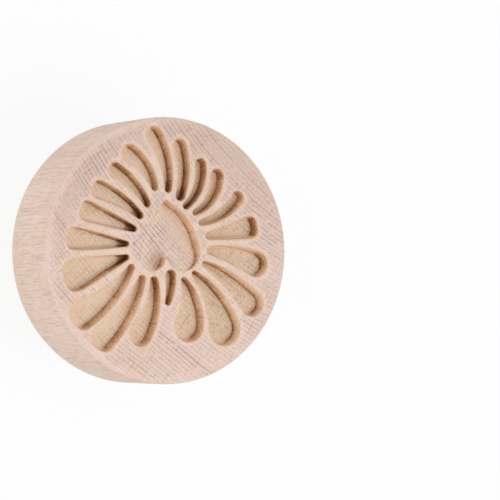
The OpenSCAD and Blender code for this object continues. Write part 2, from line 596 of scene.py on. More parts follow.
@dataclass(frozen=True)
class RoutedFinish(BeechFinish):
    """A pocket's floor, a little furry from the cutter, most of all on the head's right side.

    It is browner where the mesh's scorch attribute is above 0, from scorching and painted shade,
    and painted paler, as painted light, where it is below 0.
    """

    fur: float = 0.45
    fur_run: Span = (-6.0, 16.0)
    fur_left: float = 0.25
    dusk: float = 0.0
    dusk_run: Span = (4.0, 20.0)
    burnt_and_shaded: Tone = tone(150, 102, 66)
    painted_light: Tone = tone(234, 211, 186)
    painted_light_share: float = 0.6

    def colour(self, kit: NodeKit, marks: GrainMarks) -> Socket:
        """Works out the floor's colour: short curled fibres, scorching with painted shade, and painted light
        at edges.

        Args:
            kit: The material's kit.
            marks: The marks of the grain.

        Returns:
            The colour at each point.
        """
        scorch = kit.attribute(SCORCH_AND_SHADING)
        # Painted light: the floor is painted paler along the walls on the pocket's left.
        painted_light_amount = (-scorch).rise(0.0, 0.25) * self.painted_light_share
        wood = kit.blend(painted_light_amount, super().colour(kit, marks), self.painted_light)
        dusky = kit.parts(marks.place)[0].rise(*self.dusk_run) * self.dusk
        wood = kit.blend(self._curl(kit, marks) * self.fur + dusky, wood, self.mark)
        # Scorching and painted shade: the foot lines, the narrow ends and the heart's dips.
        return kit.blend(scorch, wood, self.burnt_and_shaded)

    def height(self, kit: NodeKit, marks: GrainMarks) -> Socket:
        """Works out the relief of the curled fibres."""
        return super().height(kit, marks) - self._curl(kit, marks) * (self.fur * 2)

    def _curl(self, kit: NodeKit, marks: GrainMarks) -> Socket:
        """Adds short crooked dark strokes, in patches.

        Args:
            kit: The material's kit.
            marks: The marks of the grain.

        Returns:
            How dark the strokes are, from 0 to 1.
        """
        place = marks.place
        bent = kit.cloud(place, 0.9, 2, 2.0, "Color")
        crooked = kit.vector("MULTIPLY_ADD", bent, (1.3,) * 3, kit.vector("SCALE", place, Scale=0.8))
        stroke = 1 - abs(kit.cloud(crooked, 1.0, 1) - 0.5).rise(0.008, 0.05)
        broken = kit.cloud(place, 1.1, 1, 14.0).rise(0.42, 0.56)
        where = kit.cloud(place, 0.12, 1, 9.0).rise(0.30, 0.52)
        by_side = kit.parts(place)[0].rise(*self.fur_run).between(self.fur_left, 1.0)
        return stroke * broken * where * by_side


@dataclass(frozen=True)
class TornFinish(BeechFinish):
    """The turned grip: smooth at its rounded end, cream and torn along its side, with small knots."""

    raw: Tone = tone(231, 203, 172)
    lifted: Tone = tone(246, 225, 199)
    pit: Tone = tone(178, 138, 106)
    raw_shares: Span = (0.25, 0.80)
    knots: tuple[tuple[float, float, float], ...] = ((-6.4, 10.2, 0.6), (10.5, -5.9, 0.6))
    knot_reach: Span = (0.3, 1.5)

    def colour(self, kit: NodeKit, marks: GrainMarks) -> Socket:
        """Works out the colour from the torn band, its pits and its lifted fibres.

        Args:
            kit: The material's kit.
            marks: The marks of the grain.

        Returns:
            The colour at each point.
        """
        band, pits, lifts = (kit.attribute(name) for name in ("torn_band", "torn_pit", "torn_lift"))
        patch = kit.cloud(marks.place, (0.24, 0.24, 0.11), 2, 6.0).rise(0.36, 0.64)
        fibre = kit.cloud(marks.place, (2.9, 2.9, 0.17), 2, 9.0)
        side = kit.blend(band * patch.between(*self.raw_shares), super().colour(kit, marks), self.raw)
        side = kit.blend(band * fibre.rise(0.52, 0.70) * 0.45, side, self.lifted)
        side = kit.blend(band * (1 - fibre).rise(0.52, 0.72) * 0.40, side, self.pit)
        side = kit.blend(lifts * 0.75, side, self.lifted)
        side = kit.blend(pits * 0.70, side, self.pit)
        for knot in self.knots:
            away = kit.vector("DISTANCE", marks.place, knot, output="Value")
            side = kit.blend((1 - away.rise(*self.knot_reach)) * 0.7, side, self.pit)
        return side


SANDED_FACE = CarvedFaceFinish(
    "sanded_face", tone(229, 204, 192), tone(224, 197, 180), tone(140, 112, 104),
    ring=0.07, fine=0.85, ray=0.48, pore=0.28, streak=0.12, speckle=0.26,
)
SANDED_RIM = BeechFinish(
    "sanded_rim", tone(229, 206, 191), tone(224, 199, 181), tone(156, 124, 106),
    ring=0.14, fine=0.0, ray=0.0, pore=0.50, streak=0.38, speckle=0.20,
)
SANDED_BACK = BeechFinish(
    "sanded_back", tone(231, 206, 191), tone(225, 197, 176), tone(158, 120, 96),
    ring=0.50, fine=0.06, ray=0.16, pore=0.12, streak=0.10,
)
BURNISHED_AND_SHADED_WALL = BurnishedAndShadedFinish(
    "burnished_and_shaded_wall", tone(208, 162, 122), tone(190, 142, 102), tone(92, 56, 34),
    ring=0.1, fine=0.1, ray=0.1, pore=0.20, streak=0.4, roughness=0.55, relief=0.2,
)
ROUTED_FLOOR = RoutedFinish(
    "routed_floor", tone(231, 209, 188), tone(225, 199, 172), tone(142, 108, 78),
    ring=0.06, fine=0.38, ray=0.30, pore=0.18, streak=0.16, speckle=0.22, roughness=0.74, relief=0.25,
    fur=0.44, dusk=0.11,
)
HEART_FLOOR = RoutedFinish(
    "heart_floor", tone(224, 199, 186), tone(219, 192, 174), tone(138, 110, 98),
    ring=0.06, fine=0.95, ray=0.56, pore=0.26, streak=0.12, speckle=0.28, roughness=0.70, relief=0.15,
    fur=0.15,
)
TORN_GRIP = TornFinish(
    "torn_grip", tone(232, 208, 194), tone(227, 201, 181), tone(158, 122, 98),
    ring=0.36, fine=0.04, ray=0.08, pore=0.2, streak=0.26, roughness=0.7, relief=0.2,
)
DOWEL_ROD = BeechFinish(
    "dowel_rod", tone(233, 212, 182), tone(226, 200, 166), tone(160, 126, 94),
    ring=0.3, fine=0.05, ray=0.05, pore=0.35, streak=0.3, roughness=0.66,
)


class Band(IntEnum):
    """The surfaces of the head, each with a finish of its own."""

    FACE = 0
    RIM = 1
    BACK = 2
    WALL = 3
    FLOOR = 4
    HEART = 5


@dataclass(frozen=True)
class Arc:
    """Part of a pocket's outline, whose normals turn by sweep from start.

    A hollow arc's radius is negative.
    """

    centre: np.ndarray
    radius: float
    start: float
    sweep: float

    def angles(self, step: float) -> np.ndarray:
        """Gives the normals' angles along the arc, without its last one.

        Args:
            step: The longest stretch between two of them.

        Returns:
            The angles.
        """
        finest_turn = math.radians(9)
        count = math.ceil(max(abs(self.radius * self.sweep) / step, abs(self.sweep) / finest_turn, 1))
        return self.start + self.sweep * np.arange(count) / count


@dataclass(frozen=True)
class Outline:
    """A pocket's edge on the face, point by point, anticlockwise."""

    points: np.ndarray
    normals: np.ndarray

    @classmethod
    def along(cls, arcs: Sequence[Arc], step: float) -> "Outline":
        """Samples a closed chain of arcs.

        Args:
            arcs: The arcs, each starting where the last one ends.
            step: The longest stretch between two points.

        Returns:
            The points and the outward normals.
        """
        points, normals = [], []
        for arc in arcs:
            angles = arc.angles(step)
            ways = np.stack([np.cos(angles), np.sin(angles)], axis=1)
            points.append(arc.centre + arc.radius * ways)
            normals.append(ways)
        return cls(np.concatenate(points), np.concatenate(normals))

    def inset(self, distance: np.ndarray | float) -> np.ndarray:
        """Gives the edge moved into the pocket by a distance."""
        return self.points - self.normals * np.reshape(distance, (-1, 1))

    def squared(self, petal: "Petal", power: float) -> "Outline":
        """Pushes the corners of a petal's round outer end out.

        Args:
            petal: The petal.
            power: How square the end gets: 2 leaves it round.

        Returns:
            The new edge.
        """
        way = np.subtract(petal.outer, petal.inner)
        out = self.points - petal.outer
        turn = np.arctan2(out @ np.array([-way[1], way[0]]), out @ way)
        growth = (np.abs(np.cos(turn)) ** power + np.abs(np.sin(turn)) ** power) ** (-1 / power)
        beyond = np.abs(turn) < QUARTER_TURN
        points = petal.outer + out * np.where(beyond, growth, 1.0)[:, None]
        along = np.roll(points, -1, axis=0) - np.roll(points, 1, axis=0)
        across = np.stack([along[:, 1], -along[:, 0]], axis=1) / np.linalg.norm(along, axis=1)[:, None]
        return Outline(points, np.where(beyond[:, None], across, self.normals))

    def run(self) -> np.ndarray:
        """Gives each point's distance along the edge."""
        steps = np.linalg.norm(np.diff(self.points, axis=0), axis=1)
        return np.concatenate([[0.0], np.cumsum(steps)])

    def ripple_along(self, patches: float, shift: float) -> np.ndarray:
        """Gives soft noise from -1 to 1 along the edge, with so many patches to a millimetre."""
        run = self.run()
        return ripple(np.column_stack([run, np.zeros_like(run)]), (patches, 1.0), shift)


@dataclass(frozen=True)
class Petal:
    """A pocket with two round ends, joined by two arcs that bow together."""

    inner: tuple[float, float]
    outer: tuple[float, float]
    inner_r: float
    outer_r: float
    bow: float
    belly: float = 0.15

    def grown(self, factor: float) -> "Petal":
        """Gives the petal at another size of flower.

        Args:
            factor: The growth of the flower.

        Returns:
            The petal, whose belly stays as it is.
        """
        inner, outer = ((x * factor, y * factor) for x, y in (self.inner, self.outer))
        sizes = (size * factor for size in (self.inner_r, self.outer_r, self.bow))
        return Petal(inner, outer, *sizes, self.belly)

    def share(self, points: np.ndarray) -> np.ndarray:
        """Gives how far points lie along the petal, from 0 at its inner end to 1 at its outer end."""
        run = np.subtract(self.outer, self.inner)
        return np.clip((points - self.inner) @ run / (run @ run), 0, 1)

    def width(self, points: np.ndarray) -> np.ndarray:
        """Gives the petal's half width beside points."""
        return self.inner_r + (self.outer_r - self.inner_r) * self.share(points)

    def sides(self) -> tuple[Arc, Arc]:
        """Works out the arcs of the two sides.

        Returns:
            The right side, from the inner to the outer end, and the left side, from the outer to the inner.
        """
        run = np.subtract(self.outer, self.inner)
        length = np.linalg.norm(run)
        heading = math.atan2(run[1], run[0])
        middle = np.add(self.outer, self.inner) / 2
        lean = math.asin((self.outer_r - self.inner_r) / length)
        middle_r = (self.inner_r + self.outer_r) / 2 / math.cos(lean) + self.belly
        made = []
        for side in (-1, 1):
            x, y, radius = self._side_arc(length / 2, middle_r + side * self.bow)
            centre = np.array([x, side * y])
            angles = []
            for end_x, end_r in ((-length / 2, self.inner_r), (length / 2, self.outer_r)):
                way = (np.array([end_x, 0.0]) - centre) / (radius - end_r)
                angles.append(math.atan2(way[1], way[0]) + heading)
            start, end = angles if side < 0 else reversed(angles)
            turned = np.array(Matrix.Rotation(heading, 2)) @ centre + middle
            sweep = (end - start + math.pi) % FULL_TURN - math.pi
            made.append(Arc(turned, radius, start, sweep))
        return made[0], made[1]

    def _side_arc(self, half_l: float, reach: float) -> tuple[float, float, float]:
        """Finds the arc that touches both ends and passes beside the petal's middle at a given reach.

        Args:
            half_l: Half the distance between the ends' centres.
            reach: Distance of the arc from the middle of the line between them.

        Returns:
            The centre along the petal, the centre to the side, and the radius.
        """
        ends = self.inner_r + self.outer_r
        widening = (self.outer_r - self.inner_r) / (2 * half_l)
        radius_0 = (reach**2 - half_l**2 + (self.inner_r**2 + self.outer_r**2) / 2) / ends
        radius_1 = -2 * reach / ends
        along_0 = widening * (radius_0 - ends / 2)
        along_1 = widening * radius_1
        a = along_1**2 + 1 - radius_1**2
        b = along_0 * along_1 - reach - radius_0 * radius_1
        c = along_0**2 + reach**2 - radius_0**2
        aside = (math.sqrt(b**2 - a * c) - b) / a
        return along_0 + along_1 * aside, aside, radius_0 + radius_1 * aside

    def arcs(self) -> list[Arc]:
        """Gives the whole outline.

        Returns:
            A chain of arcs, anticlockwise.
        """
        right, left = self.sides()
        outer_start, inner_start = right.start + right.sweep, left.start + left.sweep
        outer = Arc(np.array(self.outer), self.outer_r, outer_start, (left.start - outer_start) % FULL_TURN)
        inner = Arc(np.array(self.inner), self.inner_r, inner_start, (right.start - inner_start) % FULL_TURN)
        return [right, outer, left, inner]


def petal_row(*rows: tuple[float, float, float, float, float, float, float]) -> tuple[Petal, ...]:
    """Makes petals from their inner x and y, outer x and y, inner and outer radius, and bow to the left."""
    return tuple(Petal((x0, y0), (x1, y1), r0, r1, bow) for x0, y0, x1, y1, r0, r1, bow in rows)


@dataclass(frozen=True)
class Cut:
    """How the cutter left one pocket, and how much painted shade it gets.

    Attributes:
        burn_and_shade: How brown its narrow end is, by scorching and painted shade. Below 0 it is paler than
            elsewhere.
        even: How evenly rubbing and painted shade go past the inner end, from 0 for only the foot to 1 for
            all.
        square: How square its outer end is, from 2 for round upwards.
        steep: How much more upright its walls are towards the outer end, up to 1.
        end_rub_and_shade: How much more rubbing brown and painted shade its wall gets at the outer end.
        rubbed_and_shaded: How strongly its wall gets rubbing brown and painted shade.
    """

    burn_and_shade: float
    even: float = 1.0
    square: float = 2.0
    steep: float = 0.0
    end_rub_and_shade: float = 0.0
    rubbed_and_shaded: float = 1.0


@dataclass(frozen=True)
class Pocket:
    """One carved pocket: its edge on the face, what lies under and beside its points, and how it was cut."""

    outline: Outline
    depth: Callable[[np.ndarray], np.ndarray]
    half_width: Callable[[np.ndarray], np.ndarray]
    along: Callable[[np.ndarray], np.ndarray]
    floor: Band
    seed: int
    lip_most: float
    cut: Cut
    roll_way: tuple[float, float] | None = None

    def burnt_and_shaded_end(self, points: np.ndarray) -> np.ndarray:
        """Gives how far points lie in an inner end darkened by scorching and painted shade, from 0 to 1."""
        inner = 1 - smooth(0.06, 0.16, self.along(points))
        return smooth(0.4, 1.1, self.cut.burn_and_shade) * inner


@dataclass(frozen=True)
class Flower:
    """The carving: petals round a heart of two lobes, whose floor rolls down to one side."""

    petals: tuple[Petal, ...] = petal_row(
        (0.5, 18.5, -4, 34.5, 1.3, 3.0, -1.4),
        (4.5, 16.5, 4.5, 31.5, 1.7, 2.4, -1.2),
        (6.5, 13.5, 11.5, 26, 1.3, 2.1, -1.7),
        (9.5, 11.5, 17, 22.5, 1.1, 2.5, -2.0),
        (11.5, 8.5, 24, 16, 1.1, 2.3, -1.4),
        (14, 4.5, 27.5, 7, 1.3, 3.5, 0),
        (14.5, 0, 30, -4, 1.4, 4.2, 0.6),
        (12.5, -4, 28.5, -16, 1.0, 4.2, 1.1),
        (9, -7, 19, -23.5, 1.1, 5.5, 1.6),
        (5.5, -9, 7, -22.5, 1.2, 5.2, 1.3),
        (1, -7.5, 0, -15.5, 1.9, 1.1, 0.4),
        (-4.5, -9, -9, -25, 1.5, 3.8, 1.4),
        (-8.5, -8.5, -21, -25.5, 1.4, 4.3, 1.4),
        (-12, -5, -27.5, -18.5, 1.2, 4.6, 1.5),
        (-13.5, -2, -29.5, -7, 1.0, 4.9, 0),
        (-13.5, 2, -29.5, 3.5, 1.0, 3.5, 0),
        (-11, 6.5, -25.5, 11.5, 1.1, 3.2, 0),
        (-9, 10.5, -22, 18, 1.3, 2.9, -0.8),
        (-6.5, 14, -17, 24, 1.3, 2.5, -1.0),
        (-4, 19, -12, 29, 1.3, 3.0, -1.2),
    )
    cuts: tuple[Cut, ...] = (
        Cut(0.6, even=0.3),
        Cut(0.75, even=0.45),
        Cut(0.7),
        Cut(0.5),
        Cut(0.3, even=0.95),
        Cut(0.2, even=0.4, square=3.0, end_rub_and_shade=0.6),
        Cut(0.2, even=0.05, end_rub_and_shade=0.3),
        Cut(0.1, even=0.1),
        Cut(0.3, even=0.15),
        Cut(0.4, even=0.65),
        Cut(0.55),
        Cut(0.5),
        Cut(-0.3, square=2.6),
        Cut(-0.3, square=3.0),
        Cut(1.1, square=3.0, steep=0.7),
        Cut(1.1, square=3.6, steep=0.8),
        Cut(1.0, square=3.6, steep=0.7),
        Cut(0.85, square=2.5, steep=0.5),
        Cut(0.6),
        Cut(-0.2, even=0.4),
    )
    right_lobe: Petal = Petal((-0.3, 14.3), (5.2, -0.4), 0.9, 5.8, 1.7)
    left_lobe: Petal = Petal((-0.3, 14.3), (-5, -1.9), 0.9, 4.3, -1.0)
    heart_cut: Cut = Cut(0.4, rubbed_and_shaded=0.56)
    heart_half_w: float = 2.2
    notch_r: float = 0.3
    heart_rim_drop: float = 0.16
    heart_way: tuple[float, float] = (0.8, 0.6)
    heart_start: float = -7.6
    heart_run: float = 16.2
    heart_drop: float = 3.2
    dips: tuple[tuple[float, float, float, float], ...] = ((-2.0, -3.5, 2.2, 2.2), (-5.4, -3.6, 2.2, 0.55))
    petal_lip: float = 0.45
    heart_lip: float = 0.2
    depth: float = 3.6
    margin: float = 2.3

    def growth(self, head_r: float) -> float:
        """Gives the factor at which the longest petal keeps the margin to the rim."""
        reach = max(math.hypot(*petal.outer) + petal.outer_r for petal in self.petals)
        return (head_r - self.margin) / reach

    def pockets(self, head_r: float, step: float) -> list[Pocket]:
        """Gives all pockets of the carving.

        Args:
            head_r: The radius of the head.
            step: The longest stretch between two points of an edge.

        Returns:
            The petals and then the heart.
        """
        factor = self.growth(head_r)

        def rolling(points: np.ndarray) -> np.ndarray:
            """Gives the depth of the heart's floor at this size."""
            return self.heart_depth(points, factor)

        def same(value: float) -> Callable[[np.ndarray], np.ndarray]:
            """Gives a function with the same value for all points."""
            return lambda points: np.full(len(points), value)

        made = []
        for seed, (petal, cut) in enumerate(zip(self.petals, self.cuts)):
            grown = petal.grown(factor)
            outline = Outline.along(grown.arcs(), step).squared(grown, cut.square)
            made.append(Pocket(outline, same(self.depth), grown.width, grown.share, Band.FLOOR, seed,
                               self.petal_lip, cut))
        heart = Outline.along(self.heart_arcs(factor), step)
        made.append(Pocket(heart, rolling, same(self.heart_half_w), same(0.0), Band.HEART, len(made),
                           self.heart_lip, self.heart_cut, self.heart_way))
        return made

    def heart_arcs(self, factor: float) -> list[Arc]:
        """Works out the heart's outline, with a small round nose of wood between its lobes.

        Args:
            factor: The growth of the flower.

        Returns:
            The arcs, anticlockwise from the left lobe's side.
        """
        left, right = self.left_lobe.grown(factor), self.right_lobe.grown(factor)
        left_side, right_side = left.sides()[0], right.sides()[1]
        left_c, right_c = np.array(left.outer), np.array(right.outer)
        gap = right_c - left_c
        span = np.linalg.norm(gap)
        to_left, to_right = left.outer_r + self.notch_r, right.outer_r + self.notch_r
        opening = math.acos((to_left**2 + span**2 - to_right**2) / (2 * to_left * span))
        nose_way = math.atan2(gap[1], gap[0]) - opening
        nose = left_c + to_left * np.array([math.cos(nose_way), math.sin(nose_way)])
        right_way = math.atan2(*(nose - right_c)[::-1])
        left_start = left_side.start + left_side.sweep
        right_end = right_side.start
        top_start = right_side.start + right_side.sweep
        nose_sweep = (right_way - nose_way + math.pi) % FULL_TURN - math.pi
        return [
            left_side,
            Arc(left_c, left.outer_r, left_start, (nose_way - left_start) % FULL_TURN),
            Arc(nose, -self.notch_r, nose_way, nose_sweep),
            Arc(right_c, right.outer_r, right_way, (right_end - right_way) % FULL_TURN),
            right_side,
            Arc(np.array(right.inner), right.inner_r, top_start, (left_side.start - top_start) % FULL_TURN),
        ]

    def heart_depth(self, points: np.ndarray, factor: float) -> np.ndarray:
        """Works out the heart's rolling floor, with its dips beside the notch.

        Args:
            points: Points within the heart.
            factor: The growth of the flower.

        Returns:
            The depth under each point.
        """
        flower = points / factor
        share = np.maximum(flower @ np.array(self.heart_way) - self.heart_start, 0) / self.heart_run
        curved = self.heart_rim_drop + self.heart_drop * share**3
        for x, y, radius, drop in self.dips:
            aside = np.linalg.norm(flower - (x, y), axis=1) / radius
            curved = curved + drop * np.exp(-(aside**2) / 2)
        return np.minimum(curved, self.depth)


class MeshPlan:
    """Gathers the vertices and faces of one closed mesh, ring by ring."""

    def __init__(self) -> None:
        """Starts with nothing."""
        self.points = np.zeros((0, 3))
        self.scorch = np.zeros(0)
        self.faces: list[tuple[int, ...]] = []
        self.bands: list[int] = []

    def add(
        self, flat: np.ndarray, height: np.ndarray | float, scorch: np.ndarray | float = 0.0
    ) -> np.ndarray:
        """Adds vertices.

        Args:
            flat: Their x and y.
            height: Their z, or one z for all.
            scorch: Brown of scorching and painted shade, up to 1. Below 0 painted paler, down to -1.

        Returns:
            The vertices' numbers.
        """
        first = len(self.points)
        lifted = np.column_stack([flat, np.broadcast_to(height, len(flat))])
        self.points = np.concatenate([self.points, lifted])
        self.scorch = np.concatenate([self.scorch, np.broadcast_to(scorch, len(flat))])
        return np.arange(first, len(self.points))

    def circle(self, radius: float, height: float, count: int) -> np.ndarray:
        """Adds a circle about the axis and gives its vertices' numbers."""
        angles = np.arange(count) * FULL_TURN / count
        return self.add(radius * np.stack([np.cos(angles), np.sin(angles)], axis=1), height)

    def bridge(self, first: np.ndarray, second: np.ndarray, band: Band) -> np.ndarray:
        """Joins two closed rings of as many vertices with a strip of faces.

        Args:
            first: The first ring.
            second: The second ring.
            band: The surface that the faces belong to.

        Returns:
            The second ring, from which the next strip starts.
        """
        for start, end, start_2, end_2 in zip(first, np.roll(first, -1), second, np.roll(second, -1)):
            self.faces.append((int(start), int(end), int(end_2), int(start_2)))
            self.bands.append(band)
        return second

    def fan(self, ring: np.ndarray, band: Band) -> None:
        """Closes a ring with triangles to its middle.

        Args:
            ring: The ring, all of it at one height.
            band: The surface that the triangles belong to.
        """
        middle = int(self.add(np.zeros((1, 2)), self.points[ring[0]][2])[0])
        for start, end in zip(ring, np.roll(ring, -1)):
            self.faces.append((int(start), int(end), middle))
            self.bands.append(band)

    def fill(self, outer: np.ndarray, holes: Sequence[np.ndarray], inside: np.ndarray, band: Band) -> None:
        """Fills a ring with triangles.

        Args:
            outer: The ring round the area.
            holes: The rings that stay open.
            inside: Vertices within the area.
            band: The surface that the triangles belong to.
        """
        numbers = np.concatenate([outer, *holes, inside]).astype(int)
        edges, first = [], 0
        for ring in (outer, *holes):
            count = len(ring)
            edges += [(first + i, first + (i + 1) % count) for i in range(count)]
            first += count
        flat = [Vector(point) for point in self.points[numbers][:, :2]]
        _, _, triangles, sources, _, _ = geometry.delaunay_2d_cdt(flat, edges, [], 1, 1e-6)
        corners = np.array([[numbers[sources[corner][0]] for corner in triangle] for triangle in triangles])
        middles = self.points[corners][:, :, :2].mean(axis=1)
        kept = np.ones(len(corners), bool)
        for hole in holes:
            kept &= ~within(middles, self.points[hole][:, :2])
        self.faces += [tuple(int(corner) for corner in triangle) for triangle in corners[kept]]
        self.bands += [band] * int(kept.sum())

    def make(self, name: str, finishes: Sequence[BeechFinish], crease: float) -> bpy.types.Object:
        """Makes the mesh an object of the scene.

        Args:
            name: The object's name.
            finishes: One finish for each band.
            crease: The angle in degrees past which an edge stays sharp.

        Returns:
            The object, in place and in metres.
        """
        mesh = bpy.data.meshes.new(name)
        mesh.from_pydata((self.points * MM).tolist(), [], self.faces)
        mesh.polygons.foreach_set("material_index", self.bands)
        mesh.attributes.new(SCORCH_AND_SHADING, "FLOAT", "POINT").data.foreach_set("value", self.scorch)
        for finish in finishes:
            mesh.materials.append(finish.material())
        close_up(mesh, crease)
        return add_object(name, mesh)


def within(points: np.ndarray, ring: np.ndarray) -> np.ndarray:
    """Tells which points lie inside a ring.

    Args:
        points: The points' x and y.
        ring: The ring's corners.

    Returns:
        True for each point inside.
    """
    inside = np.zeros(len(points), bool)
    for (x0, y0), (x1, y1) in zip(ring, np.roll(ring, -1, axis=0)):
        if y0 != y1:
            crossed = (y0 > points[:, 1]) != (y1 > points[:, 1])
            inside ^= crossed & (points[:, 0] < (x1 - x0) * (points[:, 1] - y0) / (y1 - y0) + x0)
    return inside


def close_up(mesh: bpy.types.Mesh, crease: float) -> None:
    """Turns a closed mesh's faces outwards and shades it smoothly.

    Args:
        mesh: The mesh.
        crease: The angle in degrees past which an edge stays sharp.
    """
    work = bmesh.new()
    work.from_mesh(mesh)
    bmesh.ops.recalc_face_normals(work, faces=work.faces)
    work.to_mesh(mesh)
    work.free()
    mesh.polygons.foreach_set("use_smooth", [True] * len(mesh.polygons))
    mesh.set_sharp_from_angle(angle=math.radians(crease))
    mesh.update()


def scatter(ring: np.ndarray, gap: float, clear: float, holes: Sequence[np.ndarray] = ()) -> np.ndarray:
    """Spreads points over an area on a staggered grid.

    Args:
        ring: The corners of the area's edge.
        gap: The distance between points.
        clear: The least distance to any corner of the edges.
        holes: The corners of edges that the points stay out of.

    Returns:
        The points' x and y.
    """
    low, high = ring.min(axis=0), ring.max(axis=0)
    columns, rows = np.arange(low[0], high[0], gap), np.arange(low[1], high[1], gap * math.sqrt(0.75))
    grid = np.array([(x + gap / 2 * (i % 2), y) for i, y in enumerate(rows) for x in columns])
    grid = grid[within(grid, ring)]
    for hole in holes:
        grid = grid[~within(grid, hole)]
    return grid[nearest_corner(grid, np.concatenate([ring, *holes]))[0] > clear]


def nearest_corner(points: np.ndarray, corners: np.ndarray) -> tuple[np.ndarray, np.ndarray]:
    """Finds the nearest corner to each point, a few hundred points at a time.

    Args:
        points: The points' x and y.
        corners: The corners' x and y.

    Returns:
        The distance to the nearest corner, and that corner's number.
    """
    chunks = np.array_split(points, len(points) // 500 + 1)
    spans = [np.linalg.norm(chunk[:, None] - corners[None], axis=2) for chunk in chunks]
    return (np.concatenate([span.min(axis=1) for span in spans]),
            np.concatenate([span.argmin(axis=1) for span in spans]))


def ripple(points: np.ndarray, scale: Sequence[float], shift: float) -> np.ndarray:
    """Gives soft noise from -1 to 1 at points.

    Args:
        points: The points' coordinates.
        scale: How many patches there are to a millimetre, for each coordinate.
        shift: Tells one noise from another.

    Returns:
        The noise at each point.
    """
    places = np.zeros((len(points), 3))
    places[:, : points.shape[1]] = points * np.asarray(scale)
    return np.array([noise.noise(Vector(place) + Vector((shift, shift, shift))) for place in places])


@dataclass(frozen=True)
class ToolSteps:
    """The steps that the cutter leaves along a wall, with a dark scar at the start of some of them."""

    first: Span = (2.0, 5.0)
    length: Span = (2.5, 8.0)
    clear_end: float = 1.0
    blur: float = 0.2
    shift: float = 0.05
    shade: float = 0.08
    scar_chance: float = 0.4
    scar_shade: Span = (0.10, 0.26)
    scar_w: float = 0.2
    drift: float = 0.05
    drift_patches: float = 0.35
    tint: float = 0.10
    tint_patches: float = 0.22
    fade_l: float = 1.5
    seed: int = 7

    def along(self, outline: Outline, seed: int) -> tuple[np.ndarray, np.ndarray]:
        """Works out the steps along one pocket's wall.

        Args:
            outline: The pocket's edge.
            seed: Tells one pocket's steps from another's.

        Returns:
            How far each point of the wall is shifted, and how much browner it is.
        """
        draw = Random(self.seed + seed)
        run = outline.run()
        offsets = self.drift * outline.ripple_along(self.drift_patches, 3.0 * seed)
        shades = self.tint * outline.ripple_along(self.tint_patches, 5.0 * seed + 1)
        place = draw.uniform(*self.first)
        while place < run[-1] - self.clear_end:
            length = draw.uniform(*self.length)
            begun = smooth(-self.blur, self.blur, run - place)
            here = begun * smooth(-self.blur, self.blur, place + length - run)
            offsets += draw.uniform(-self.shift, self.shift) * here
            shades += draw.uniform(-self.shade, self.shade) * here
            if draw.random() < self.scar_chance:
                shades += draw.uniform(*self.scar_shade) * np.exp(-(((run - place) / self.scar_w) ** 2))
            place += length
        fade = smooth(0, self.fade_l, run) * smooth(0, self.fade_l, run[-1] - run)
        return offsets * fade, shades * fade


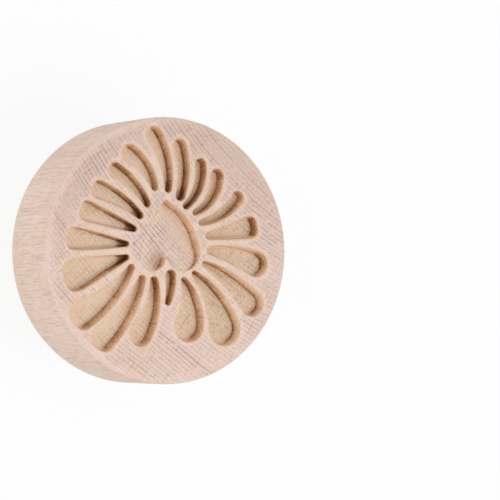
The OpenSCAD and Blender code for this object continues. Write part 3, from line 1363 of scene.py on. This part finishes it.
class ScorchAndShading:
    """How brown one pocket is, ring by ring from its lip to its floor: scorching, painted shade and painted
    light.

    The wall on a pocket's right, which faces away from the key lamp, gets rubbing brown and painted shade,
    evenly or most at its foot, where a dark painted shadow line stays. A narrow end gets scorching and
    painted shade, and a floor gets painted light along the walls on the other side.
    """

    def __init__(
        self, pocket: Pocket, narrow: np.ndarray, side: np.ndarray, depth: np.ndarray, shades: np.ndarray
    ) -> None:
        """Works out what all rings share, at each point of the pocket's edge.

        Args:
            pocket: The pocket.
            narrow: How narrow the pocket is there, from 0 to 1.
            side: How far the wall lies on the pocket's right, with rubbing and painted shade, from 0 to 1.
            depth: The depth at the wall's foot.
            shades: How much browner the tool's steps are.
        """
        cut, edge = pocket.cut, pocket.outline
        along = pocket.along(edge.points)
        # Extra rubbing brown and painted shade at the outer end of some pockets.
        at_end_rub_and_shade = cut.end_rub_and_shade * smooth(0.8, 1.0, along)
        even = cut.even + (1 - cut.even) * (1 - smooth(0.0, 0.5, along))
        patchy = smooth(-0.35, 0.25, edge.ripple_along(0.17, 7.0 * pocket.seed + 2))
        self.pocket, self.narrow, self.side, self.shades = pocket, narrow, side, shades
        self.deep = smooth(0.18, 0.6, depth)
        self.burnt_and_shaded = cut.burn_and_shade * narrow
        self.ends = pocket.burnt_and_shaded_end(edge.points)
        self.spread = np.clip(even * (0.48 + 0.52 * patchy) + at_end_rub_and_shade, 0, 1)
        # The wall on the pocket's right faces away from the key lamp: rubbing brown with painted shade.
        self.rub_and_shade = cut.rubbed_and_shaded * side * (0.58 + 0.66 * self.burnt_and_shaded + at_end_rub_and_shade)

    def lip(self, share: float) -> np.ndarray:
        """Gives the rounded lip's value, from the face at 0 to the wall at 1: a painted highlight, cream on
        the face.
        """
        return (0.06 + 0.16 * share + 0.10 * share * self.narrow) * self.deep

    def wall(self, share: float) -> np.ndarray:
        """Works out the brown of the wall: rubbing, scorching and painted shade.

        Args:
            share: How far down the wall, from the lip at 0 to the foot at 1.

        Returns:
            The brown at each point of the edge, from 0 to 1.
        """
        bare = 0.15
        plain = 0.20 + 0.04 * share
        at_foot = 0.06 + 0.32 * smooth(0.2, 1.0, share)
        evenly = 0.22 + 0.30 * smooth(0.0, 0.55, share)
        # Rubbing brown and painted shade on the wall on the pocket's right.
        rubbed_and_shaded = self.rub_and_shade * (at_foot + (evenly - at_foot) * self.spread)
        # Scorching and painted shade in a narrow inner end.
        burnt_and_shaded = 0.5 * self.ends * smooth(0.0, 0.7, share)
        # Painted shade: a dark line low down at the wall's foot.
        foot_line = (0.32 - 0.20 * self.spread) * self.side * share**5
        stepped = self.shades * (0.2 + 0.8 * self.side)
        brown = plain + rubbed_and_shaded + burnt_and_shaded + foot_line + stepped
        return np.clip(bare + (brown - bare) * self.deep, 0, 1)

    def foot(self, share: float) -> np.ndarray:
        """Works out the brown of the rounded foot, with a painted shadow line where the wall meets the floor.

        Args:
            share: How far round the foot, from the wall at 0 to the floor at 1.

        Returns:
            The brown at each point of the edge, from 0 to 1.
        """
        # Painted shadow along the foot of the wall on the pocket's right, with rubbing and scorching.
        rubbed_and_shaded = self.side * (0.64 - 0.16 * self.spread + 0.08 * self.burnt_and_shaded + self.shades)
        brown = 0.22 + rubbed_and_shaded + 0.1 * self.burnt_and_shaded + 0.55 * self.ends
        fade = 1 - 0.65 * share**3 * (1 - self.ends)
        return np.clip(brown * fade * self.deep, 0, 1)

    def floor(self, points: np.ndarray, away: np.ndarray, nearest: np.ndarray) -> np.ndarray:
        """Works out the brown of the floor.

        Args:
            points: The floor's points.
            away: Their distance from the wall's foot.
            nearest: The number of the nearest point of the edge.

        Returns:
            The brown at each point, below 0 where the floor has painted light.
        """
        depth = self.pocket.depth(points)
        narrow = 1 - smooth(0.9, 2.2, self.pocket.half_width(points))
        rubbed_and_shaded = self.side[nearest]
        # Painted light on the floor along the walls on the pocket's left, which get no painted shade.
        painted_light = 0.3 * (1 - rubbed_and_shaded) * np.exp(-away / 2.4) * (1 - 0.3 * narrow)
        # Painted shade in the floor's narrow parts, and scorching with painted shade at the inner end.
        shaded = 0.14 * narrow * (0.4 + 0.6 * self.pocket.cut.burn_and_shade)
        shaded = np.maximum(shaded, 0.9 * self.pocket.burnt_and_shaded_end(points))
        # Painted shadow on the floor beside the foot of the wall on the pocket's right.
        foot_line = 0.40 * rubbed_and_shaded * np.exp(-away / 0.35)
        brown = (foot_line + shaded) * smooth(0.3, 1.6, depth) - painted_light
        if self.pocket.roll_way:
            # The heart's floor: painted shade in its dips, and paler where it sinks.
            toward = smooth(-3.0, 3.0, points @ np.array(self.pocket.roll_way))
            sunk = smooth(0.5, 2.4, depth) * toward
            dipped = smooth(0.4, 1.8, depth) * (1 - toward)
            brown += 0.08 - 0.24 * sunk + 0.20 * dipped
        return np.clip(brown, -1, 1)


@dataclass
class StampHead:
    """The turned disc with its carved face, and the coved boss behind it.

    Slants are in degrees from upright. rim_from and back_from are turns in radians, at which the disc's
    rounded edges go over to the rim and to the back.
    """

    low: Vector
    high: Vector
    thickness: float = 25.0
    edge_r: float = 0.6
    rim_from: float = 0.6
    back_from: float = 0.9
    cove_r: float = 5.0
    bore_r: float = 5.05
    bore_depth: float = 15.5
    mid_back_r: float = 30.0
    lip_least: float = 0.15
    lip_of_land: float = 0.45
    lip_inward: float = 0.4
    lip_on_face: float = 0.6
    round_of_depth: float = 0.4
    steps_hold: float = 0.8
    foot_r: float = 0.3
    narrow_w: Span = (1.0, 3.4)
    slant_narrow: float = 6.0
    slant_wide: float = 8.0
    slant_right_side: float = 18.0
    # Walls whose outward normal points this way, on the pocket's right, get rubbing brown and painted shade.
    rub_and_shade_way: tuple[float, float] = (1.0, 0.08)
    rub_and_shade_turn: Span = (0.0, 0.55)
    guard: float = 0.08
    step: float = 0.34
    floor_gap: float = 0.55
    floor_clear: float = 0.3
    floor_calm: float = 0.9
    floor_waves: tuple[tuple[float, float, float], ...] = ((0.045, 0.5, 17.0), (0.03, 1.6, 29.0))
    face_gap: float = 1.4
    face_clear: float = 0.6
    lip_rings: int = 5
    wall_rings: int = 7
    foot_shares: tuple[float, ...] = (0.33, 0.67, 1.0)
    edge_rings: int = 6
    side_rings: int = 9
    cove_rings: int = 15
    around: int = 360
    flower: Flower = field(default_factory=Flower)
    tool_steps: ToolSteps = field(default_factory=ToolSteps)

    @property
    def radius(self) -> float:
        """The disc's radius."""
        return self.high.x / MM

    @property
    def face_z(self) -> float:
        """The height of the carved face."""
        return self.high.z / MM

    @property
    def seat_z(self) -> float:
        """The height of the boss's end."""
        return self.low.z / MM

    @property
    def back_z(self) -> float:
        """The height of the disc's back."""
        return self.face_z - self.thickness

    @property
    def cove_foot_r(self) -> float:
        """The radius at which the cove meets the back."""
        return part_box("knob")[1].x / MM + self.cove_r

    def build(self) -> bpy.types.Object:
        """Makes the head.

        Returns:
            The finished object.
        """
        plan = MeshPlan()
        pockets = self.flower.pockets(self.radius, self.step)
        guards = []
        for pocket in pockets:
            others = [other.outline.points for other in pockets if other is not pocket]
            land, _ = nearest_corner(pocket.outline.points, np.concatenate(others))
            guards.append(self._carve(plan, pocket, land))
        self._turn(plan, guards)
        finishes = (SANDED_FACE, SANDED_RIM, SANDED_BACK, BURNISHED_AND_SHADED_WALL, ROUTED_FLOOR, HEART_FLOOR)
        return plan.make("beech_head", finishes, crease=50.0)

    def _carve(self, plan: MeshPlan, pocket: Pocket, land: np.ndarray) -> np.ndarray:
        """Adds one pocket: a rounded lip, a slanted wall with tool steps, a rounded foot and the floor.

        Args:
            plan: The head's mesh.
            pocket: The pocket.
            land: How much wood stands between each point of its edge and the next pocket.

        Returns:
            The ring of vertices on the face, just outside the lip.
        """
        edge = pocket.outline
        narrow = 1 - smooth(*self.narrow_w, pocket.half_width(edge.points))
        # Walls on the pocket's right face away from the key lamp and get painted shade besides rubbing brown.
        side = smooth(*self.rub_and_shade_turn, edge.normals @ np.array(self.rub_and_shade_way))
        slant = self._slant(pocket, narrow, side)
        fall = np.tan(slant)
        depth = pocket.depth(edge.inset(self.flower.depth * fall))
        offsets, shades = self.tool_steps.along(edge, pocket.seed)
        scorch = ScorchAndShading(pocket, narrow, side, depth, shades)

        lip = np.clip(self.lip_of_land * land - self.guard, self.lip_least, pocket.lip_most)
        lip = np.minimum(lip, self.round_of_depth * depth)
        lip_in = self.lip_inward * np.maximum(lip - self.lip_least, 0)
        guard = plan.add(edge.inset(lip_in - lip - self.guard), self.face_z, -scorch.deep)
        last = guard
        for share in np.linspace(0, 1, self.lip_rings):
            turn = share * (QUARTER_TURN - slant)
            inset, drop = lip_in + lip * (np.sin(turn) - 1), lip * (1 - np.cos(turn))
            ring = plan.add(edge.inset(inset), self.face_z - drop, scorch.lip(share))
            last = plan.bridge(last, ring, Band.FACE if share < self.lip_on_face else Band.WALL)

        foot = np.minimum(self.foot_r, self.round_of_depth * depth)
        foot_start = depth - foot * (1 - np.sin(slant))
        for share in np.arange(1, self.wall_rings + 1) / self.wall_rings:
            sunk = drop + (foot_start - drop) * share
            worn = math.sin(math.pi * min(share, self.steps_hold)) * offsets
            wall_inset = inset + fall * (sunk - drop) + worn
            ring = plan.add(edge.inset(wall_inset), self.face_z - sunk, scorch.wall(share))
            last = plan.bridge(last, ring, Band.WALL)

        for share in self.foot_shares:
            turn = slant + (QUARTER_TURN - slant) * share
            flare = foot * (np.cos(slant) - np.cos(turn))
            sunk = depth - foot * (1 - np.sin(turn))
            ring = plan.add(edge.inset(wall_inset + flare), self.face_z - sunk, scorch.foot(share))
            last = plan.bridge(last, ring, Band.WALL)
        self._floor(plan, last, pocket, scorch)
        return guard

    def _slant(self, pocket: Pocket, narrow: np.ndarray, side: np.ndarray) -> np.ndarray:
        """Works out how far a pocket's wall slants.

        Args:
            pocket: The pocket.
            narrow: How narrow it is at each point of its edge, from 0 to 1.
            side: How far the wall lies on the pocket's right, with rubbing and painted shade, from 0 to 1.

        Returns:
            The angle from upright at each point, in radians.
        """
        wide = self.slant_wide + (self.slant_right_side - self.slant_wide) * side
        upright = 1 - pocket.cut.steep * smooth(0.2, 1.0, pocket.along(pocket.outline.points))
        return np.radians((wide + (self.slant_narrow - wide) * narrow) * upright)

    def _floor(self, plan: MeshPlan, ring: np.ndarray, pocket: Pocket, scorch: ScorchAndShading) -> None:
        """Fills a pocket's floor, which is a little uneven from the cutter.

        Args:
            plan: The head's mesh.
            ring: The ring of vertices at the wall's foot.
            pocket: The pocket.
            scorch: How brown the pocket is, from scorching and painted shade, and where it has painted light.
        """
        edge = plan.points[ring][:, :2]
        points = scatter(edge, self.floor_gap, self.floor_clear)
        away, nearest = nearest_corner(points, edge)
        waves = (high * ripple(points, (patches,) * 2, shift) for high, patches, shift in self.floor_waves)
        uneven = sum(waves)
        height = self.face_z - pocket.depth(points) + uneven * smooth(0, self.floor_calm, away)
        inside = plan.add(points, height, scorch.floor(points, away, nearest))
        plan.fill(ring, [], inside, pocket.floor)

    def _turn(self, plan: MeshPlan, guards: Sequence[np.ndarray]) -> None:
        """Adds the face round the pockets, and everything that is turned on the lathe.

        Args:
            plan: The head's mesh.
            guards: The rings round the pockets on the face.
        """
        face, *profile = self._profile()
        last = plan.circle(face[0], face[1], self.around)
        rims = [plan.points[guard][:, :2] for guard in guards]
        points = scatter(plan.points[last][:, :2], self.face_gap, self.face_clear, rims)
        plan.fill(last, guards, plan.add(points, self.face_z), Band.FACE)
        for radius, height, band in profile:
            last = plan.bridge(last, plan.circle(radius, height, self.around), band)
        plan.fan(last, Band.BACK)

    def _profile(self) -> list[tuple[float, float, Band]]:
        """Draws the head's section, from the face over the rim and the back to the end of the bore.

        Returns:
            Each corner's radius and height, and the surface that leads to it.
        """
        in_r, top, low = self.radius - self.edge_r, self.face_z - self.edge_r, self.back_z + self.edge_r
        quarter = np.linspace(0, QUARTER_TURN, self.edge_rings)
        cove = np.linspace(QUARTER_TURN, math.pi, self.cove_rings)
        corners = [(in_r - self.guard, self.face_z, Band.FACE)]
        for turn in quarter:
            band = Band.FACE if turn < self.rim_from else Band.RIM
            corners.append((in_r + self.edge_r * math.sin(turn), top + self.edge_r * math.cos(turn), band))
        for height in np.linspace(top, low, self.side_rings)[1:-1]:
            corners.append((self.radius, height, Band.RIM))
        for turn in quarter:
            band = Band.RIM if turn < self.back_from else Band.BACK
            corners.append((in_r + self.edge_r * math.cos(turn), low - self.edge_r * math.sin(turn), band))
        for radius in (in_r - self.guard, self.mid_back_r, self.cove_foot_r + self.guard):
            corners.append((radius, self.back_z, Band.BACK))
        for turn in cove:
            height = self.seat_z + self.cove_r * math.sin(turn)
            corners.append((self.cove_foot_r + self.cove_r * math.cos(turn), height, Band.BACK))
        for height in (self.seat_z, self.seat_z + self.bore_depth):
            corners.append((self.bore_r, height, Band.BACK))
        return corners


class GrownPiece:
    """Runs a Geometry Nodes tree and keeps its result as a plain mesh."""

    def __init__(self, name: str, sizes: dict[str, float | int]) -> None:
        """Starts a tree with its named inputs.

        Args:
            name: The name of the piece.
            sizes: The sizes that the tree takes, by the names of its inputs.
        """
        self.name = name
        self.tree = bpy.data.node_groups.new(name, "GeometryNodeTree")
        self.tree.interface.new_socket(name="Geometry", in_out="OUTPUT", socket_type="NodeSocketGeometry")
        self.values = {}
        for label, value in sizes.items():
            kind = "NodeSocketInt" if isinstance(value, int) else "NodeSocketFloat"
            socket = self.tree.interface.new_socket(name=label, in_out="INPUT", socket_type=kind)
            self.values[socket.identifier] = value
        self.kit = NodeKit(self.tree)
        self.entry = self.tree.nodes.new("NodeGroupInput")

    def size(self, name: str) -> Socket:
        """Gives one of the tree's inputs."""
        return Socket(self.kit, self.entry.outputs[name])

    def finish(self, shape: Socket, material: bpy.types.Material, crease: float) -> bpy.types.Object:
        """Ends the tree and runs it.

        Args:
            shape: The geometry.
            material: The material of all its faces.
            crease: The angle in degrees past which an edge stays sharp.

        Returns:
            The object with a plain mesh and no modifier.
        """
        kit = self.kit
        real = kit.node("GeometryNodeRealizeInstances", None, {"Geometry": shape})
        dressed = kit.node("GeometryNodeSetMaterial", None, {"Geometry": real, "Material": material})
        kit.node("NodeGroupOutput", None, {"Geometry": dressed})
        made = add_object(self.name, bpy.data.meshes.new(self.name + "_start"))
        modifier = made.modifiers.new(self.name, "NODES")
        modifier.node_group = self.tree
        for identifier, value in self.values.items():
            modifier[identifier] = value
        graph = bpy.context.evaluated_depsgraph_get()
        mesh = bpy.data.meshes.new_from_object(made.evaluated_get(graph))
        made.modifiers.remove(modifier)
        mesh.name = self.name
        made.data = mesh
        close_up(mesh, crease)
        return made


@dataclass
class Grip:
    """The turned grip: a straight torn side, a rounded shoulder and a flat end, with the dowel's bore."""

    low: Vector
    high: Vector
    end_r: float = 11.25
    end_guard: float = 0.25
    shoulder_h: float = 7.0
    shoulder_rows: int = 24
    bore_r: float = 5.05
    bore_depth: float = 15.5
    around: int = 720
    side_rows: int = 84
    pit_depth: float = 0.11
    lift_height: float = 0.07
    row_start: float = 7.0
    row_h: float = 6.2
    row_up: Span = (0.0, 0.3)
    row_down: Span = (0.72, 1.0)
    fan: float = 0.6
    seed: float = 4.0
    grain_way: tuple[float, float] = (0.69, 0.72)
    flat_sawn: Span = (0.25, 0.9)
    ragged_h: float = 7.0
    torn_from: Span = (4.5, 10.0)
    torn_to: Span = (21.5, 26.8)
    torn_r: Span = (13.8, 14.6)
    fibre_steps: tuple[float, float, float] = (3.6, 3.6, 0.55)
    fibre_edge: Span = (0.52, 0.66)

    def build(self) -> bpy.types.Object:
        """Makes the grip.

        Returns:
            The finished object.
        """
        piece = GrownPiece("torn_knob", {
            "Radius": self.high.x,
            "Seat Height": self.high.z,
            "End Radius": self.end_r * MM,
            "Shoulder Height": self.shoulder_h * MM,
            "Bore Radius": self.bore_r * MM,
            "Bore Depth": self.bore_depth * MM,
            "Around": self.around,
            "Side Rows": self.side_rows,
            "Pit Depth": self.pit_depth * MM,
            "Lift Height": self.lift_height * MM,
            "Row Height": self.row_h,
            "Fan": self.fan,
            "Seed": self.seed,
        })
        torn = self._tear(piece, self._lathe(piece))
        return piece.finish(torn, TORN_GRIP.material(), crease=50.0)

    def _lathe(self, piece: GrownPiece) -> Socket:
        """Sweeps the grip's section round the axis.

        Args:
            piece: The tree.

        Returns:
            The closed turned shape.
        """
        kit, size = piece.kit, piece.size
        radius, seat, end_r = size("Radius"), size("Seat Height"), size("End Radius")
        shoulder, bore_r = size("Shoulder Height"), size("Bore Radius")
        bore_z = seat - size("Bore Depth")
        inward = radius - end_r
        bend = (shoulder * shoulder + inward * inward) / (inward * 2)
        edge_guard = end_r - self.end_guard * MM

        def corner(out: Socket, up: Socket | float) -> Socket:
            """Places a corner of the section, whose axes are out from the path and down."""
            return kit.join(out - radius, -up, 0.0)

        def line(start: Socket, end: Socket, count: Socket | int) -> Socket:
            """Draws a straight stretch of the section."""
            drawn = kit.node("GeometryNodeCurvePrimitiveLine", None, {"Start": start, "End": end})
            return kit.node("GeometryNodeResampleCurve", None, {"Curve": drawn, "Count": count})

        sweep = kit.math("ARCSINE", shoulder / bend)
        arc = kit.node("GeometryNodeCurveArc", {"mode": "RADIUS"}, {
            "Resolution": self.shoulder_rows,
            "Radius": bend,
            "Start Angle": 0.0,
            "Sweep Angle": sweep,
        })
        arc_place = kit.join(-bend, -shoulder, 0.0)
        axis = radius * 0.0
        stretches = [
            line(corner(radius, seat), corner(radius, shoulder), size("Side Rows")),
            kit.node("GeometryNodeTransform", None, {"Geometry": arc, "Translation": arc_place}),
            line(corner(end_r, 0.0), corner(edge_guard, 0.0), 2),
            line(corner(edge_guard, 0.0), corner(axis, 0.0), 4),
            line(corner(radius, seat), corner(bore_r, seat), 2),
            line(corner(bore_r, seat), corner(bore_r, bore_z), 2),
            line(corner(bore_r, bore_z), corner(axis, bore_z), 2),
        ]
        section = kit.node("GeometryNodeJoinGeometry", None, {"Geometry": stretches})
        path_inputs = {"Resolution": size("Around"), "Radius": radius}
        path = kit.node("GeometryNodeCurvePrimitiveCircle", {"mode": "RADIUS"}, path_inputs)
        swept = kit.node("GeometryNodeCurveToMesh", None, {"Curve": path, "Profile Curve": section})
        return kit.node("GeometryNodeMergeByDistance", None, {"Geometry": swept, "Distance": 0.001 * MM})

    def _tear(self, piece: GrownPiece, turned: Socket) -> Socket:
        """Tears the side: short pits and lifted fibres that fan out in rows, most where the rings lie flat.

        Args:
            piece: The tree.
            turned: The smooth turned shape.

        Returns:
            The torn shape, with its band, pits and lifts as attributes.
        """
        kit, size = piece.kit, piece.size
        place = kit.vector("SCALE", kit.node("GeometryNodeInputPosition"), Scale=1 / MM)
        x, y, z = kit.parts(place)
        grain_x, grain_y = self.grain_way
        spread = (x * x + y * y) ** 0.5
        across = (x * grain_x + y * grain_y) / spread
        aside = y * grain_x - x * grain_y
        ragged = (kit.cloud(place, (0.35, 0.35, 0.10), 3) - 0.5) * self.ragged_h + z
        band = ragged.hump(self.torn_from, self.torn_to) * spread.rise(*self.torn_r)
        row = ((ragged - self.row_start) / size("Row Height")).fraction()
        dense = row.hump(self.row_up, self.row_down).between(0.3, 1.0)
        tearing = band * abs(across).rise(*self.flat_sawn).between(0.2, 1.0) * dense

        fan = aside * (row - 0.5) * size("Fan")
        sway = kit.cloud(place, (0.5, 0.5, 0.3), 1, 2.0, "Color")
        swayed = kit.vector("MULTIPLY_ADD", sway, (1.2, 1.2, 0.0), place)
        fanned = kit.vector("ADD", swayed, kit.join(fan * -grain_y, fan * grain_x, 0.0))
        seeded = kit.vector("ADD", fanned, kit.join(size("Seed"), size("Seed"), size("Seed")))
        pits = kit.cloud(seeded, self.fibre_steps, 1).rise(*self.fibre_edge) * tearing
        lifts = kit.cloud(seeded, self.fibre_steps, 1, 8.0).rise(*self.fibre_edge) * tearing
        shape = turned
        for name, value in (("torn_band", band), ("torn_pit", pits), ("torn_lift", lifts)):
            shape = kit.node("GeometryNodeStoreNamedAttribute", {"data_type": "FLOAT", "domain": "POINT"},
                             {"Geometry": shape, "Name": name, "Value": value})

        shift = lifts * size("Lift Height") - pits * size("Pit Depth")
        out = kit.vector("NORMALIZE", kit.join(x, y, 0.0))
        facing = kit.vector("DOT_PRODUCT", kit.node("GeometryNodeInputNormal"), out, output="Value")
        offset = kit.vector("SCALE", out, Scale=shift * abs(facing))
        return kit.node("GeometryNodeSetPosition", None, {"Geometry": shape, "Offset": offset})


@dataclass
class DowelPin:
    """The fluted dowel that holds the grip on the head."""

    low: Vector
    high: Vector
    chamfer: float = 1.0
    flutes: int = 12
    flute_depth: float = 0.4
    flute_w: float = 1.2
    around: int = 288
    rows: int = 60
    end_rings: int = 3

    def build(self) -> bpy.types.Object:
        """Makes the dowel.

        Returns:
            The finished object.
        """
        length = self.high.z - self.low.z
        piece = GrownPiece("fluted_dowel", {
            "Radius": self.high.x,
            "Length": length,
            "Middle": self.low.z + length / 2,
            "Chamfer": self.chamfer * MM,
            "Flutes": self.flutes,
            "Flute Depth": self.flute_depth * MM,
            "Flute Width": self.flute_w * MM,
            "Around": self.around,
            "Rows": self.rows,
        })
        kit, size = piece.kit, piece.size
        radius, flutes, half_l = size("Radius"), size("Flutes"), size("Length") * 0.5
        rod = kit.node("GeometryNodeMeshCylinder", {"fill_type": "TRIANGLE_FAN"}, {
            "Vertices": size("Around"),
            "Side Segments": size("Rows"),
            "Fill Segments": self.end_rings,
            "Radius": radius,
            "Depth": size("Length"),
        }, "Mesh")
        x, y, z = kit.parts(kit.node("GeometryNodeInputPosition"))
        turn = kit.math("ARCTAN2", y, x) * flutes * (1 / FULL_TURN)
        aside = abs((turn + 100.5).fraction() - 0.5) * FULL_TURN * radius / flutes
        share = aside / (size("Flute Width") * 0.5)
        groove = (1 - share * share).most(0.0) * size("Flute Depth")
        beyond = (abs(z) - (half_l - size("Chamfer"))).most(0.0)
        trimmed = (radius - beyond - groove) / radius
        moved = kit.join(x * trimmed, y * trimmed, z + size("Middle"))
        carved = kit.node("GeometryNodeSetPosition", None, {"Geometry": rod, "Position": moved})
        return piece.finish(carved, DOWEL_ROD.material(), crease=40.0)


@dataclass(frozen=True)
class Lamp:
    """A square soft lamp that faces the stamp."""

    name: str
    place: tuple[float, float, float]
    side: float
    watts: float

    def hang(self) -> None:
        """Hangs the lamp in the scene."""
        data = bpy.data.lights.new(self.name, "AREA")
        data.size = self.side * MM
        data.energy = self.watts
        lamp = add_object(self.name, data)
        lamp.location = Vector(self.place) * MM
        lamp.rotation_euler = (-lamp.location).to_track_quat("-Z", "Y").to_euler()


@dataclass
class Studio:
    """A white floor under soft light, and the camera of the photograph."""

    camera_at: tuple[float, float, float] = (-369.7, -16.7, 798.5)
    camera_way: tuple[float, float, float] = (0.472, 0.020, -0.881)
    camera_up: tuple[float, float, float] = (0.0, 1.0, 0.023)
    lens: float = 199.5
    sensor: float = 36.0
    sky: float = 0.70
    floor_half: float = 3000.0
    floor_paint: Tone = (0.9, 0.9, 0.9, 1.0)
    floor_glow: float = 0.88
    shadow_reach: Span = (70.0, 260.0)
    lamps: tuple[Lamp, ...] = (
        Lamp("key_lamp", (250, -260, 880), 460, 2.9),
        Lamp("fill_lamp", (-900, 60, 230), 520, 2.2),
    )

    def build(self) -> None:
        """Makes the whole studio."""
        scene = bpy.context.scene
        scene.view_settings.view_transform = "Standard"
        scene.camera = self._camera()
        scene.world = self._world()
        self._floor()
        for lamp in self.lamps:
            lamp.hang()

    def _camera(self) -> bpy.types.Object:
        """Places the camera.

        Returns:
            The camera.
        """
        data = bpy.data.cameras.new("camera")
        data.lens = self.lens
        data.sensor_width = self.sensor
        data.clip_start = 0.01
        data.clip_end = 100.0
        camera = add_object("camera", data)
        way = Vector(self.camera_way).normalized()
        right = way.cross(Vector(self.camera_up)).normalized()
        turned = Matrix((right, right.cross(way), -way)).transposed().to_4x4()
        camera.matrix_world = Matrix.Translation(Vector(self.camera_at) * MM) @ turned
        return camera

    @staticmethod
    def _seen(kit: NodeKit) -> Socket:
        """Gives 1 for rays that show the background, also in a gloss, and 0 for rays that carry light."""
        path = kit.node("ShaderNodeLightPath", None, None, "Is Camera Ray")
        return path.most(path.sibling("Is Glossy Ray")).most(path.sibling("Is Transmission Ray"))

    def _world(self) -> bpy.types.World:
        """Makes a sky that looks white and lights softly.

        Returns:
            The sky.
        """
        world = bpy.data.worlds.new("soft_tent")
        kit = NodeKit.emptied(world)
        white = kit.node("ShaderNodeBackground", None, {"Color": WHITE, "Strength": 1.0})
        soft = kit.node("ShaderNodeBackground", None, {"Color": WHITE, "Strength": self.sky})
        shaders = {"Fac": self._seen(kit), "Shader": soft, "Shader_001": white}
        mixed = kit.node("ShaderNodeMixShader", None, shaders)
        kit.node("ShaderNodeOutputWorld", None, {"Surface": mixed})
        return world

    def _floor(self) -> None:
        """Makes a white floor that keeps a faint shadow."""
        material = bpy.data.materials.new("white_floor")
        kit = NodeKit.emptied(material)
        paint = kit.node("ShaderNodeBsdfDiffuse", None, {"Color": self.floor_paint})
        glow = kit.node("ShaderNodeEmission", None, {"Color": WHITE, "Strength": 1.0})
        place = kit.node("ShaderNodeTexCoord", None, None, "Object")
        away = kit.vector("LENGTH", place, output="Value") / MM
        even = away.rise(*self.shadow_reach).between(self.floor_glow, 1.0)
        shaders = {"Fac": self._seen(kit) * even, "Shader": paint, "Shader_001": glow}
        mixed = kit.node("ShaderNodeMixShader", None, shaders)
        kit.node("ShaderNodeOutputMaterial", None, {"Surface": mixed})

        mesh = bpy.data.meshes.new("floor")
        half = self.floor_half * MM
        corners = [(-half, -half, 0), (half, -half, 0), (half, half, 0), (-half, half, 0)]
        mesh.from_pydata(corners, [], [(0, 1, 2, 3)])
        mesh.materials.append(material)
        floor = add_object("floor", mesh)


def place_piece(piece: bpy.types.Object, node: str) -> None:
    """Lets a piece stand for a node of the frame, and reports it.

    Args:
        piece: The finished piece.
        node: The node that it replaces.
    """
    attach(piece, BODY)
    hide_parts(node)
    LOG.info("%s stands for %s with %d faces", piece.name, node, len(piece.data.polygons))


def main() -> None:
    """Builds the studio and the stamp."""
    logging.basicConfig(level=logging.INFO, format="%(name)s: %(message)s")
    Studio().build()
    place_piece(StampHead(*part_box("stamp_head")).build(), "stamp_head")
    place_piece(Grip(*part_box("knob")).build(), "knob")
    place_piece(DowelPin(*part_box("dowel_pin")).build(), "dowel_pin")


if __name__ == "__main__":
    main()
